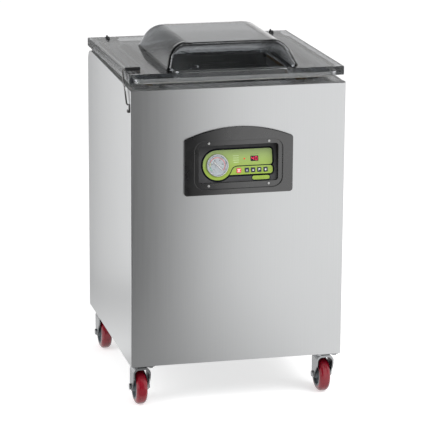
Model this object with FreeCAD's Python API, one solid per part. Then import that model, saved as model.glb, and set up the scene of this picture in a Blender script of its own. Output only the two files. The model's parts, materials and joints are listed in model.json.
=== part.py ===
import FreeCAD, Part
import math
import os

# Floor-standing chamber vacuum sealer, in millimetres: +Z up, front towards -Y, right towards +X.
# Pieces are built about the floor point under the middle of the cabinet. The finished model is then moved
# so that its origin lies on the floor under the middle of its overall box.

# Cabinet
CABINET_WIDTH = 610.0
CABINET_DEPTH = 630.0
CABINET_HEIGHT = 790.0
SHEET = 1.5
BEND = 3.0                   # outside radius of the folded edges
SEAM = 0.3                   # gap between neighbouring panels
FRONT_RETURN = 22.0          # depth of the front panel's folded edges
SIDE_FLANGE = 12.0           # width of the side panels' folded top edge
REAR_BEND = 40.0             # radius of the rear panel's top bend
REAR_FLANGE = 15.0           # flat of the rear panel ahead of that bend
PAN_SHEET = 2.5
PAN_LIP = 25.0
POST_LEG = 30.0
POST_SHEET = 2.5
VENT_LENGTH = 90.0
VENT_HEIGHT = 6.0
VENT_PITCH = 16.0
VENT_ROWS = 8
VENT_SPREAD = 130.0          # each vent column's distance from the middle
VENT_FLOOR = 110.0           # lowest vent above the cabinet's bottom edge
SCREW_RADIUS = 2.0
SCREW_HEAD_RADIUS = 3.6
SCREW_HEAD_HEIGHT = 2.2
SCREW_HEAD_ROUND = 1.2
SCREW_LENGTH = 9.0
SCREW_HOLE = 0.15            # radial room around a screw or bolt in its hole
REAR_SCREW_INSET = 8.0
REAR_SCREW_DROP = 14.0       # top rear screws below the start of the top bend
REAR_SCREW_ROWS = 4

# Cord gland
GLAND_INSET = 90.0           # from the cabinet's right side
GLAND_HEIGHT = 80.0          # above the cabinet's bottom edge
GLAND_BORE = 5.0
GLAND_BODY = 9.0
GLAND_NUT = 14.0
GLAND_PROUD = 24.0
GLAND_INSIDE = 12.0

# Casters
CASTER_HEIGHT = 130.0
CASTER_INSET_X = 37.0        # swivel axis from the cabinet's side
CASTER_INSET_Y = 53.0        # swivel axis from the cabinet's front or rear
CASTER_TRAIL = 14.0
PLATE_WIDTH = 66.0
PLATE_LENGTH = 100.0
PLATE_THICK = 3.0
PLATE_BOLT_X = 44.0
PLATE_BOLT_Y = 78.0
BOLT_RADIUS = 4.0
BOLT_HEAD = 6.5              # half the width across a bolt head's flats
BOLT_HEAD_HEIGHT = 5.0
RACE_RADIUS = 24.0
RACE_HEIGHT = 10.0
SWIVEL_GAP = 0.4
KINGPIN_RADIUS = 6.0
CROWN_RADIUS = 27.0
CROWN_HEIGHT = 6.0
FORK_INSIDE = 43.0
FORK_SHEET = 3.5
FORK_EYE = 12.0              # radius of the fork's cheek round the axle
FORK_BEND = 17.0             # bend from the crown to the cheeks
FORK_KNEE = 30.0             # straight fall of the cheek's edges below the crown
FORK_KNEE_ROUND = 34.0
FORK_SEAT = 21.0             # round seat of the crown under the ball race
AXLE_RADIUS = 5.0
AXLE_HEAD = 8.0
AXLE_HEAD_HEIGHT = 4.0
RUNNING = 0.06               # radial clearance of shafts that turn
WHEEL_RADIUS = 50.8
TYRE_WIDTH = 32.0
TYRE_THICK = 14.0
TYRE_CROWN = 12.0            # rounding of the tread's shoulders
HUB_WIDTH = 40.0
HUB_BOSS = 13.0
HUB_WEB = 10.0
HUB_RIM = 5.0

# Vacuum chamber
CHAMBER_WIDTH = 510.0        # inside
CHAMBER_DEPTH = 186.0
CHAMBER_WALL = 2.5
CHAMBER_CORNER = 40.0
CHAMBER_FLANGE = 6.0
FLANGE_FRONT = 36.0          # flange width ahead of the opening
FLANGE_REAR = 36.0
PORT_DROP = 70.0             # suction port below the flange
PORT_RADIUS = 14.0
PORT_BORE = 10.0
PORT_FLANGE = 22.0
PORT_FLANGE_THICK = 4.0
PORT_LENGTH = 26.0
FILLER_THICK = 12.0
FILLER_GAP = 4.0
BAR_INSET = 33.0             # each seal bar's middle from the chamber's side wall
BAR_LENGTH = 440.0
BAR_WIDTH = 20.0
BAR_HEIGHT = 34.0
BAR_TRAVEL = 8.0
BAR_SHOULDER = 4.0
BAR_CHANNEL = 7.0            # width of the sealing wire's channel
BAR_CHANNEL_DEPTH = 1.0
PIN_SPREAD = 165.0
PIN_RADIUS = 7.0
CYLINDER_RADIUS = 14.0
CYLINDER_GAP = 3.0           # between a lowered bar and its cylinder

# Lid
LID_SETBACK = 15.0           # front edge behind the cabinet's front
LID_OVERHANG = 7.0           # rear edge beyond the cabinet's rear
LID_THICK = 24.0
LID_LIFT = 6.5               # underside above the flange with the lid shut
LID_CORNER = 5.0
LID_CHAMFER = 1.2
LID_AJAR = 1.0               # degrees that the lid stands open as stored
DOME_WIDTH = 376.0
DOME_HEIGHT = 66.0
DOME_INSET = 16.0            # dome's foot behind the lid's front edge
DOME_LENGTH = 474.0
DOME_FLANK = 22.0            # lean of the dome's sides, in degrees
DOME_FRONT = 38.0            # lean of its front end
DOME_REAR = 28.0             # lean of its rear end
DOME_CORNER = 50.0           # corner radius of its foot
DOME_CROWN = 60.0            # corner radius where its sides reach the height of its top
DOME_ROUND = 64.0            # rounding between its sides and its top
DOME_WALL = 10.0
DOME_SIDE_WALL = 13.0        # at the foot of the sides
DOME_END_WALL = 12.0         # at the foot of the ends
GASKET_WIDTH = 12.0
GASKET_INSET = 4.0           # gasket from the edge of the sealing flange
GASKET_CORNER = 30.0
GASKET_SEAT = 8.0            # depth of its groove in the lid
GASKET_ROUND = 4.0
GASKET_FIT = 0.1
SEAL_GAP = 0.3               # gasket above the flange with the lid shut
STRIP_WIDTH = 28.0
STRIP_THICK = 12.0
STRIP_GAP = 0.4              # raised bar below the pressure strip

# Hinges
HINGE_INSET = 55.0           # each hinge's middle from the cabinet's side
HINGE_BACK = 18.0            # axis behind the cabinet's rear
HINGE_DROP = 2.0             # axis below the flange
HINGE_PIN = 4.0
KNUCKLE_RADIUS = 8.0
KNUCKLE_LENGTH = 36.0
LEAF_THICK = 4.0
LEAF_WIDTH = 62.0
LEAF_LENGTH = 76.0
LEAF_CLEAR = 13.0            # leaf's wide part from the axis
EAR_THICK = 7.0
EAR_RADIUS = 9.0
EAR_GAP = 0.4
SPRING_LENGTH = 28.0
SPRING_RADIUS = 7.5          # mean radius of the coil
SPRING_WIRE = 1.6
SPRING_TURNS = 6
BRACKET_PLATE = 4.0
BRACKET_TOP = 46.0           # bracket plate's top below the flange
BRACKET_HEIGHT = 60.0
LID_BOLT = 2.5
LID_BOLT_HEAD = 4.0
LID_BOLT_HEAD_HEIGHT = 4.0
LID_BOLT_PROUD = 4.0
LID_BOLT_FLAT = 1.0          # thin head under the leaf
LID_BOLT_PITCH = 22.0        # between a leaf's two bolts

# Hook and keeper
HOOK_BACK = 64.0             # sleeve behind the lid's front edge
HOOK_WIRE = 2.5
HOOK_BEND = 8.0
HOOK_FOOT_BEND = 4.2
HOOK_CLEAR = 3.5             # wire from the cabinet's side
HOOK_DROP = 88.0
HOOK_LEAN = 57.0             # foot ahead of the sleeve
SLEEVE_RADIUS = 4.4
SLEEVE_LENGTH = 42.0
SLEEVE_INSET = 1.5           # sleeve's end from the lid's edge
SLEEVE_SEAT = 0.6            # sleeve axis above its own radius over the lid
KEEPER_GAP = 5.0             # keeper ahead of the hook's foot
KEEPER_WIDTH = 12.0
KEEPER_HEIGHT = 22.0
KEEPER_PLATE = 2.5
KEEPER_REACH = 7.0
KEEPER_LIP = 7.0
KEEPER_DROP = 8.0            # keeper's ledge below the hook's foot with the lid shut

# Control unit; heights are above the cabinet's bottom edge
BEZEL_WIDTH = 310.0
BEZEL_BELOW = 33.0           # bezel's foot below the window
BEZEL_ABOVE = 19.0           # bezel's shoulders above the window
BEZEL_RISE = 33.0            # rise of the arch above the shoulders
BEZEL_PROUD = 5.0
BEZEL_CORNER = 9.0
BEZEL_EDGE = 2.0
TRAY_WIDTH = 251.0           # shallow recess in the bezel's face
TRAY_BELOW = 17.0            # tray's foot below the window
TRAY_ABOVE = 13.0            # tray's top above the window
TRAY_CORNER = 28.0
TRAY_DEPTH = 3.0
TRAY_LIP = 1.4               # rounding of the tray's rim
WINDOW_WIDTH = 227.0         # opening to the fascia
WINDOW_FOOT = 520.0
WINDOW_HEIGHT = 107.0
WINDOW_CORNER = 9.0
WINDOW_WALL = 2.0
WINDOW_DEPTH = 40.0
BEZEL_SCREW_X = 85.7
BEZEL_SCREW_INSET = 7.0      # bezel screws from the window's edge
FASCIA_SETBACK = 6.0         # fascia's foot behind the cabinet's front
FASCIA_TILT = 13.0
FASCIA_THICK = 2.5
FASCIA_FIT = 0.15
OVERLAY_THICK = 0.6
OVERLAY_GAP = 2.6            # dark line between the two green fields
OVERLAY_RIGHT = 101.0
OVERLAY_TOP = 89.0
OVERLAY_MIDDLE = 44.0
OVERLAY_FOOT = 18.8
OVERLAY_CORNER = 8.0
OVERLAY_RING = 41.5          # green ring round the gauge
OVERLAY_SWEEP = 20.0         # swept corner between that ring and the band
OVERLAY_BORDER = 2.4         # dark backing beyond the green
OVERLAY_BACKING = 0.3        # thickness of the backing
PILL_X = 66.4
PILL_Y = 8.2
PILL_WIDTH = 49.6
PILL_HEIGHT = 11.0
PILL_ROUND = 0.99            # share of its half height that its ends are rounded
GAUGE_X = -56.4
GAUGE_Y = 47.2
GAUGE_RADIUS = 31.5
GAUGE_RIM = 2.8
GAUGE_PROUD = 4.6
GAUGE_DIAL = 1.0             # dial above the fascia
GAUGE_BODY = 29.0
GAUGE_DEPTH = 26.0
GAUGE_STEM = 7.0
GAUGE_STEM_LENGTH = 14.0
LENS_THICK = 1.0
LENS_SETBACK = 0.4
NEEDLE_LENGTH = 22.0
NEEDLE_TAIL = 13.0
NEEDLE_WIDTH = 1.8
NEEDLE_HUB = 2.6
NEEDLE_THICK = 0.7
NEEDLE_LIFT = 0.6            # needle above the dial
NEEDLE_REST = -45.0          # degrees from the fascia's right
ARBOR_RADIUS = 0.9
LAMP_X = 21.4
LAMP_Y = 62.4
LAMP_RADIUS = 2.2
DISPLAY_X = 50.1
DISPLAY_Y = 62.0
DISPLAY_WIDTH = 22.4
DISPLAY_HEIGHT = 14.6
DISPLAY_PROUD = 0.9
KEY_Y = 30.1
STOP_X = 4.0
STOP_WIDTH = 12.8
KEY_XS = (27.0, 44.8, 62.7, 80.6)
KEY_WIDTH = 11.6
KEY_HEIGHT = 12.7
KEY_CORNER = 1.5
KEY_PROUD = 1.8              # above the fascia
KEY_ROOT = 3.2               # below the fascia's face
KEY_TRAVEL = 0.9
KEY_GAP = 0.3
BOARD_LEFT = -18.0
BOARD_RIGHT = 104.0
BOARD_FOOT = 6.0
BOARD_TOP = 88.0
BOARD_SINK = 15.0            # board's front below the fascia's face
BOARD_THICK = 1.6
BOSS_RADIUS = 3.5
BOSS_INSET = 6.0
SWITCH_SIZE = 6.0

# Machinery on the base pan
PUMP_SHIFT = 60.0            # pump's middle to the left of the cabinet's
PUMP_FORWARD = 255.0         # pump's middle ahead of the cabinet's rear
PUMP_LENGTH = 240.0
PUMP_WIDTH = 170.0
PUMP_HEIGHT = 190.0
PUMP_FOOT = 14.0
PUMP_RIBS = 9
PUMP_RIB_HEIGHT = 10.0
INLET_RADIUS = 14.0
INLET_HEIGHT = 30.0
INLET_ARM = 39.0             # width of the arm under the inlet
MOTOR_RADIUS = 74.0
MOTOR_LENGTH = 190.0
MOTOR_FINS = 20
MOTOR_FIN = 5.0
MOTOR_FOOT = 118.0
HOSE_RADIUS = 14.0
HOSE_BORE = 10.0
HOSE_RUN = 30.0              # straight run from the port before it turns down
TRANSFORMER_INSET = 100.0    # its middle from the cabinet's left side
TRANSFORMER_BACK = 165.0     # its middle from the cabinet's front
TRANSFORMER_WIDTH = 120.0
TRANSFORMER_DEPTH = 70.0
TRANSFORMER_HEIGHT = 110.0
TRANSFORMER_LEG = 24.0
COIL_DEPTH = 96.0
COIL_GAP = 1.0
VALVE_INSET = 130.0          # its middle from the cabinet's right side
VALVE_BACK = 165.0           # its middle from the cabinet's front
VALVE_WIDTH = 90.0
VALVE_DEPTH = 50.0
VALVE_HEIGHT = 40.0
VALVE_COIL = 14.0
VALVE_COIL_HEIGHT = 42.0

# Levels and faces worked out from the sizes above
BASE_Z = CASTER_HEIGHT
TOP_Z = BASE_Z + CABINET_HEIGHT
SIDE_X = CABINET_WIDTH / 2
FRONT_Y = -CABINET_DEPTH / 2
REAR_Y = CABINET_DEPTH / 2
PAN_FLOOR = BASE_Z + PAN_SHEET
FLANGE_X = SIDE_X - SIDE_FLANGE - SEAM
FLANGE_Y0 = FRONT_Y + FRONT_RETURN + SEAM
FLANGE_Y1 = REAR_Y - REAR_BEND - REAR_FLANGE - SEAM
CHAMBER_Y0 = FLANGE_Y0 + FLANGE_FRONT
CHAMBER_Y1 = FLANGE_Y1 - FLANGE_REAR
CHAMBER_MID = (CHAMBER_Y0 + CHAMBER_Y1) / 2
CHAMBER_FLOOR = TOP_Z - CHAMBER_DEPTH
PORT_Z = TOP_Z - PORT_DROP
HINGE_Y = REAR_Y + HINGE_BACK
HINGE_Z = TOP_Z - HINGE_DROP
HINGE_SPREAD = SIDE_X - HINGE_INSET
BAR_SPREAD = CHAMBER_WIDTH / 2 - BAR_INSET
GLAND_X = SIDE_X - GLAND_INSET
PUMP_X = -PUMP_SHIFT
PUMP_Y = REAR_Y - PUMP_FORWARD
TRANSFORMER_X = -SIDE_X + TRANSFORMER_INSET
TRANSFORMER_Y = FRONT_Y + TRANSFORMER_BACK
VALVE_X = SIDE_X - VALVE_INSET
VALVE_Y = FRONT_Y + VALVE_BACK
LID_Y0 = FRONT_Y + LID_SETBACK
LID_Y1 = REAR_Y + LID_OVERHANG
LID_Z0 = TOP_Z + LID_LIFT
LID_Z1 = LID_Z0 + LID_THICK
DOME_Y0 = LID_Y0 + DOME_INSET
DOME_Y1 = DOME_Y0 + DOME_LENGTH
STRIP_Z0 = LID_Z0 - STRIP_THICK
BAR_Z1 = STRIP_Z0 - STRIP_GAP - BAR_TRAVEL
BAR_Z0 = BAR_Z1 - BAR_HEIGHT
CYLINDER_TOP = BAR_Z0 - CYLINDER_GAP
HOOK_Y = LID_Y0 + HOOK_BACK
HOOK_Z = LID_Z1 + SLEEVE_RADIUS + SLEEVE_SEAT
HOOK_X = -(SIDE_X + HOOK_CLEAR + HOOK_WIRE)
SWIVEL_X = SIDE_X - CASTER_INSET_X
SWIVEL_Y = CABINET_DEPTH / 2 - CASTER_INSET_Y
RACE_Z = BASE_Z - PLATE_THICK - RACE_HEIGHT
CROWN_Z = RACE_Z - SWIVEL_GAP
WINDOW_TOP = WINDOW_FOOT + WINDOW_HEIGHT
BEZEL_FOOT = WINDOW_FOOT - BEZEL_BELOW
BEZEL_SHOULDER = WINDOW_TOP + BEZEL_ABOVE
BEZEL_CROWN = BEZEL_SHOULDER + BEZEL_RISE
TRAY_FOOT = WINDOW_FOOT - TRAY_BELOW
TRAY_TOP = WINDOW_TOP + TRAY_ABOVE
CORNERS = {"fl": (-1, -1), "fr": (1, -1), "rl": (-1, 1), "rr": (1, 1)}

X_AXIS = FreeCAD.Vector(1, 0, 0)
Y_AXIS = FreeCAD.Vector(0, 1, 0)
Z_AXIS = FreeCAD.Vector(0, 0, 1)
FRONT_FACE = FreeCAD.Placement(FreeCAD.Vector(0, FRONT_Y, BASE_Z), FreeCAD.Rotation(X_AXIS, 90))
FASCIA_FACE = FreeCAD.Placement(
    FreeCAD.Vector(0, FRONT_Y + FASCIA_SETBACK, BASE_Z + WINDOW_FOOT),
    FreeCAD.Rotation(X_AXIS, 90 - FASCIA_TILT),
)


def vec(x, y, z):
    return FreeCAD.Vector(x, y, z)


def box(x0, x1, y0, y1, z0, z1):
    """Block between two opposite corners."""
    return Part.makeBox(x1 - x0, y1 - y0, z1 - z0, vec(x0, y0, z0))


def rod(start, direction, radius, length):
    return Part.makeCylinder(radius, length, start, direction)


def pipe(start, direction, outer, bore, length):
    return rod(start, direction, outer, length).cut(rod(start, direction, bore, length))


def hexagon(start, direction, half_flats, height):
    """Hexagonal prism, as a bolt head or nut."""
    corner = half_flats / math.cos(math.pi / 6)
    turn = FreeCAD.Rotation(Z_AXIS, direction)
    points = []
    for step in range(7):
        angle = step * math.pi / 3
        points.append(start + turn.multVec(vec(corner * math.cos(angle), corner * math.sin(angle), 0)))
    face = Part.Face(Part.makePolygon(points))
    return face.extrude(direction * height)


def rounded_slab(x0, x1, y0, y1, z0, z1, radius):
    """Block whose four upright edges are rounded."""
    solid = box(x0, x1, y0, y1, z0, z1)
    return round_edges(solid, radius, lambda edge: is_along(edge, Z_AXIS))


def is_along(edge, axis):
    """True for a straight edge parallel to the axis."""
    if len(edge.Vertexes) != 2:
        return False
    run = edge.Vertexes[1].Point - edge.Vertexes[0].Point
    return abs(abs(run.dot(axis)) - edge.Length) < 1e-6 and abs(run.Length - edge.Length) < 1e-6


def round_edges(solid, radius, chosen):
    """Fillet the edges that the test picks."""
    return solid.makeFillet(radius, [edge for edge in solid.Edges if chosen(edge)])


def at_height(edge, z):
    """True for an edge that lies in the level plane at z."""
    return abs(edge.BoundBox.ZMin - z) < 1e-6 and abs(edge.BoundBox.ZMax - z) < 1e-6


def fuse_all(solids):
    whole = solids[0]
    if len(solids) > 1:
        whole = whole.multiFuse(solids[1:])
    return whole.removeSplitter()


def turned(points, origin):
    """Solid of revolution about X from (along, radius) points, placed at origin."""
    outline = [vec(along, 0, radius) for along, radius in points]
    outline.append(outline[0])
    solid = Part.Face(Part.makePolygon(outline)).revolve(vec(0, 0, 0), X_AXIS, 360)
    return solid.translated(origin)


def bent_rod(points, bends, radius):
    """Round rod along straight runs joined by tangent arcs, one bend radius for each inner point."""
    edges = []
    here = points[0]
    for index, bend in enumerate(bends, start=1):
        corner = points[index]
        back = (points[index - 1] - corner).normalize()
        ahead = (points[index + 1] - corner).normalize()
        half = back.getAngle(ahead) / 2
        reach = bend / math.tan(half)
        middle = corner + (back + ahead).normalize() * (bend / math.sin(half) - bend)
        start = corner + back * reach
        finish = corner + ahead * reach
        if (start - here).Length > 1e-6:
            edges.append(Part.LineSegment(here, start).toShape())
        edges.append(Part.Arc(start, middle, finish).toShape())
        here = finish
    if (points[-1] - here).Length > 1e-6:
        edges.append(Part.LineSegment(here, points[-1]).toShape())
    path = Part.Wire(edges)
    section = Part.Wire(Part.makeCircle(radius, points[0], points[1] - points[0]))
    return path.makePipeShell([section], True, False)


def mirrored(solid):
    """The same piece on the other side of the middle plane."""
    return solid.mirror(vec(0, 0, 0), X_AXIS)


def on_face(solid, face):
    """Move a solid drawn flat, with its outward side up, onto a sloping or upright face."""
    copy = solid.copy()
    copy.Placement = face.multiply(copy.Placement)
    return copy


def base_pan():
    """Folded tray that carries the casters and the machinery."""
    edge_x = SIDE_X - SHEET
    edge_y = CABINET_DEPTH / 2 - SHEET
    tray = rounded_slab(-edge_x, edge_x, -edge_y, edge_y, BASE_Z, BASE_Z + PAN_LIP, BEND + PAN_SHEET)
    hollow = rounded_slab(
        -edge_x + PAN_SHEET, edge_x - PAN_SHEET, -edge_y + PAN_SHEET, edge_y - PAN_SHEET,
        PAN_FLOOR, BASE_Z + PAN_LIP, BEND,
    )
    holes = [rod(vec(x, y, BASE_Z), Z_AXIS, BOLT_RADIUS + SCREW_HOLE, PAN_SHEET)
             for x, y in caster_bolt_places()]
    holes += [rod(vec(x, edge_y - 2 * PAN_SHEET, z), Y_AXIS, SCREW_RADIUS + SCREW_HOLE, 2 * PAN_SHEET)
              for x, z in rear_screw_places()]
    return tray.cut(hollow).cut(holes)


def frame_posts():
    """Four upright angles between the base pan and the chamber's flange."""
    reach_x = SIDE_X - SHEET - PAN_SHEET - SEAM
    reach_y = CABINET_DEPTH / 2 - SHEET - PAN_SHEET - SEAM
    post = box(0, POST_LEG, 0, POST_LEG, PAN_FLOOR, TOP_Z - CHAMBER_FLANGE)
    post = post.cut(box(POST_SHEET, POST_LEG, POST_SHEET, POST_LEG, PAN_FLOOR, TOP_Z - CHAMBER_FLANGE))
    post = round_edges(post, POST_SHEET, lambda edge: is_along(edge, Z_AXIS) and edge.BoundBox.XMax < 1e-6
                       and edge.BoundBox.YMax < 1e-6)
    front_left = post.translated(vec(-reach_x, -reach_y, 0))
    rear_shift = vec(-reach_x, min(reach_y, FLANGE_Y1), 0)
    rear_left = post.mirror(vec(0, 0, 0), Y_AXIS).translated(rear_shift)
    posts = [front_left, rear_left]
    return Part.makeCompound(posts + [mirrored(post) for post in posts])


def front_panel():
    """Folded sheet: the face, two side returns and a top return, with a window for the control unit."""
    back = FRONT_Y + FRONT_RETURN
    outer = box(-SIDE_X, SIDE_X, FRONT_Y, back, BASE_Z, TOP_Z)
    outer = round_edges(outer, BEND, lambda edge: edge.BoundBox.YMax < FRONT_Y + 1e-6
                        and not at_height(edge, BASE_Z))
    inner = box(-SIDE_X + SHEET, SIDE_X - SHEET, FRONT_Y + SHEET, back + SHEET, BASE_Z - BEND, TOP_Z - SHEET)
    inner = round_edges(inner, BEND - SHEET, lambda edge: edge.BoundBox.YMax < FRONT_Y + SHEET + 1e-6
                        and not at_height(edge, BASE_Z - BEND))
    window = window_block(WINDOW_WALL + SEAM, -2 * BEND, 2 * BEND)
    holes = [on_face(rod(vec(x, z, -2 * BEND), Z_AXIS, SCREW_RADIUS + SCREW_HOLE, 4 * BEND), FRONT_FACE)
             for x, z in bezel_screw_places()]
    return outer.cut(inner).cut([window] + holes)


def side_panel():
    """Left panel: a sheet with a rounded top rear corner and a folded top edge as far as the rear panel."""
    y0 = FRONT_Y + FRONT_RETURN + SEAM
    outer = box(-SIDE_X, -SIDE_X + SIDE_FLANGE, y0, REAR_Y, BASE_Z, TOP_Z)
    outer = round_edges(outer, BEND, lambda edge: is_along(edge, Y_AXIS) and at_height(edge, TOP_Z)
                        and edge.BoundBox.XMax < -SIDE_X + 1e-6)
    inner = box(-SIDE_X + SHEET, SIDE_X, y0 - SHEET, REAR_Y + SHEET, BASE_Z - SHEET, TOP_Z - SHEET)
    inner = round_edges(inner, BEND - SHEET, lambda edge: is_along(edge, Y_AXIS)
                        and at_height(edge, TOP_Z - SHEET) and edge.BoundBox.XMax < 0)
    corner = box(-SIDE_X, SIDE_X, y0, REAR_Y, BASE_Z, TOP_Z)
    corner = round_edges(corner, REAR_BEND, lambda edge: is_along(edge, X_AXIS) and at_height(edge, TOP_Z)
                         and edge.BoundBox.YMin > 0)
    rear_top = box(-SIDE_X + SHEET, -SIDE_X + SIDE_FLANGE, FLANGE_Y1, REAR_Y, TOP_Z - REAR_BEND, TOP_Z)
    return outer.cut(inner).common(corner).cut(rear_top)


def rear_panel():
    """Sheet bent over at the top, with two columns of vents and a hole for the cord gland."""
    edge_x = SIDE_X - SHEET - SEAM
    y0 = REAR_Y - REAR_BEND - REAR_FLANGE
    outer = box(-edge_x, edge_x, y0, REAR_Y, BASE_Z, TOP_Z)
    outer = round_edges(outer, REAR_BEND, lambda edge: is_along(edge, X_AXIS) and at_height(edge, TOP_Z)
                        and edge.BoundBox.YMin > REAR_Y - 1e-6)
    inner = box(-SIDE_X, SIDE_X, y0 - SHEET, REAR_Y - SHEET, BASE_Z - SHEET, TOP_Z - SHEET)
    inner = round_edges(inner, REAR_BEND - SHEET, lambda edge: is_along(edge, X_AXIS)
                        and at_height(edge, TOP_Z - SHEET) and edge.BoundBox.YMin > REAR_Y - SHEET - 1e-6)
    gland = vec(GLAND_X, REAR_Y - 2 * SHEET, BASE_Z + GLAND_HEIGHT)
    cuts = [rod(gland, Y_AXIS, GLAND_BODY + SCREW_HOLE, 3 * SHEET)]
    for row in range(VENT_ROWS):
        z = BASE_Z + VENT_FLOOR + row * VENT_PITCH
        for middle in (-VENT_SPREAD, VENT_SPREAD):
            slot = box(middle - VENT_LENGTH / 2, middle + VENT_LENGTH / 2, REAR_Y - 2 * SHEET, REAR_Y + SHEET,
                       z, z + VENT_HEIGHT)
            cuts.append(round_edges(slot, VENT_HEIGHT / 2.01, lambda edge: is_along(edge, Y_AXIS)))
    for x, z in rear_screw_places() + bracket_screw_places():
        cuts.append(rod(vec(x, REAR_Y - 2 * SHEET, z), Y_AXIS, SCREW_RADIUS + SCREW_HOLE, 3 * SHEET))
    return outer.cut(inner).cut(cuts)


def rear_screw_places():
    x = SIDE_X - SHEET - REAR_SCREW_INSET
    low = BASE_Z + PAN_LIP / 2
    step = (TOP_Z - REAR_BEND - REAR_SCREW_DROP - low) / (REAR_SCREW_ROWS - 1)
    return [(side * x, low + row * step) for side in (-1, 1) for row in range(REAR_SCREW_ROWS)]


def bracket_screw_places():
    z0 = TOP_Z - BRACKET_TOP - BRACKET_HEIGHT
    half = LEAF_WIDTH / 4
    return [(side * (HINGE_SPREAD + shift), z0 + BRACKET_HEIGHT * share)
            for side in (-1, 1) for shift in (-half, half) for share in (0.25, 0.75)]


def bezel_screw_places():
    """Screw places on the bezel's face, across and up."""
    low = WINDOW_FOOT - BEZEL_SCREW_INSET
    high = WINDOW_TOP + BEZEL_SCREW_INSET
    return [(side * BEZEL_SCREW_X, height) for side in (-1, 1) for height in (low, high)]


def screw(seat, outward):
    """Pan-head screw whose head sits on the seat."""
    head = rod(seat, outward, SCREW_HEAD_RADIUS, SCREW_HEAD_HEIGHT)
    far = seat + outward * SCREW_HEAD_HEIGHT
    head = round_edges(head, SCREW_HEAD_ROUND, lambda edge: (edge.CenterOfMass - far).Length < 1e-3)
    return fuse_all([head, rod(seat, -outward, SCREW_RADIUS, SCREW_LENGTH)])


def panel_screws():
    """Screws of the bezel, the rear panel and the hinge brackets."""
    bezel_seat = FRONT_Y - BEZEL_PROUD + TRAY_DEPTH
    screws = [screw(vec(x, bezel_seat, BASE_Z + z), -Y_AXIS) for x, z in bezel_screw_places()]
    screws += [screw(vec(x, REAR_Y, z), Y_AXIS) for x, z in rear_screw_places()]
    screws += [screw(vec(x, REAR_Y + BRACKET_PLATE, z), Y_AXIS) for x, z in bracket_screw_places()]
    return Part.makeCompound(screws)


def cord_gland():
    """Bored gland through the rear panel: a nut outside, a sleeve inside."""
    middle = vec(GLAND_X, REAR_Y, BASE_Z + GLAND_HEIGHT)
    start = middle - Y_AXIS * GLAND_INSIDE
    length = GLAND_INSIDE + GLAND_PROUD
    body = rod(start, Y_AXIS, GLAND_BODY, length)
    body = round_edges(body, GLAND_BODY - GLAND_BORE - 1, lambda edge: edge.BoundBox.YMin > REAR_Y + 1)
    nut = hexagon(middle, Y_AXIS, GLAND_NUT, GLAND_PROUD / 2)
    return fuse_all([body, nut]).cut(rod(start, Y_AXIS, GLAND_BORE, length))


def caster_bolt_places():
    return [(sx * SWIVEL_X + dx * PLATE_BOLT_X / 2, sy * SWIVEL_Y + dy * PLATE_BOLT_Y / 2)
            for sx, sy in CORNERS.values() for dx in (-1, 1) for dy in (-1, 1)]


def caster_plates():
    """Top plates, each with its ball race and kingpin."""
    plate = rounded_slab(-PLATE_WIDTH / 2, PLATE_WIDTH / 2, -PLATE_LENGTH / 2, PLATE_LENGTH / 2,
                         BASE_Z - PLATE_THICK, BASE_Z, PLATE_THICK * 2)
    race = rod(vec(0, 0, RACE_Z), Z_AXIS, RACE_RADIUS, RACE_HEIGHT)
    race = round_edges(race, RACE_HEIGHT / 3, lambda edge: at_height(edge, RACE_Z + RACE_HEIGHT)
                       or at_height(edge, RACE_Z))
    pin_end = CROWN_Z - CROWN_HEIGHT
    kingpin = rod(vec(0, 0, pin_end), Z_AXIS, KINGPIN_RADIUS, RACE_Z - pin_end + RACE_HEIGHT)
    holes = [rod(vec(dx * PLATE_BOLT_X / 2, dy * PLATE_BOLT_Y / 2, BASE_Z - PLATE_THICK), Z_AXIS,
                 BOLT_RADIUS + SCREW_HOLE, PLATE_THICK) for dx in (-1, 1) for dy in (-1, 1)]
    whole = fuse_all([plate.cut(holes), race, kingpin])
    return Part.makeCompound([whole.translated(vec(sx * SWIVEL_X, sy * SWIVEL_Y, 0))
                              for sx, sy in CORNERS.values()])


def caster_bolts():
    """Hexagon bolts that hold the caster plates under the base pan, with nuts inside it."""
    bolts = []
    for x, y in caster_bolt_places():
        head = hexagon(vec(x, y, BASE_Z - PLATE_THICK), -Z_AXIS, BOLT_HEAD, BOLT_HEAD_HEIGHT)
        shank = rod(vec(x, y, BASE_Z - PLATE_THICK), Z_AXIS, BOLT_RADIUS, PLATE_THICK + PAN_SHEET)
        nut = hexagon(vec(x, y, PAN_FLOOR), Z_AXIS, BOLT_HEAD, BOLT_HEAD_HEIGHT)
        bolts.append(fuse_all([head, shank, nut]))
    return Part.makeCompound(bolts)


def fork_outline():
    """Side view of the fork: as wide as its crown down to two knees, then closing to an eye round the axle."""
    x = -FORK_INSIDE / 2 - FORK_SHEET
    eye = vec(x, CASTER_TRAIL, WHEEL_RADIUS)
    knee_front = vec(x, -CROWN_RADIUS, CROWN_Z - FORK_KNEE)
    knee_rear = vec(x, CROWN_RADIUS, CROWN_Z - FORK_KNEE)
    crown_front = vec(x, -CROWN_RADIUS, CROWN_Z)
    crown_rear = vec(x, CROWN_RADIUS, CROWN_Z)
    front = tangent_point(knee_front, eye, FORK_EYE, -1)
    rear = tangent_point(knee_rear, eye, FORK_EYE, 1)
    edges = [
        Part.LineSegment(crown_rear, crown_front).toShape(),
        Part.LineSegment(crown_front, knee_front).toShape(),
        Part.LineSegment(knee_front, front).toShape(),
        Part.Arc(front, eye - Z_AXIS * FORK_EYE, rear).toShape(),
        Part.LineSegment(rear, knee_rear).toShape(),
        Part.LineSegment(knee_rear, crown_rear).toShape(),
    ]
    block = Part.Face(Part.Wire(edges)).extrude(X_AXIS * (FORK_INSIDE + 2 * FORK_SHEET))
    return round_edges(block, FORK_KNEE_ROUND, lambda edge: is_along(edge, X_AXIS)
                       and abs(edge.CenterOfMass.z - knee_front.z) < 1e-3
                       and edge.CenterOfMass.y < 0)


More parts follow.
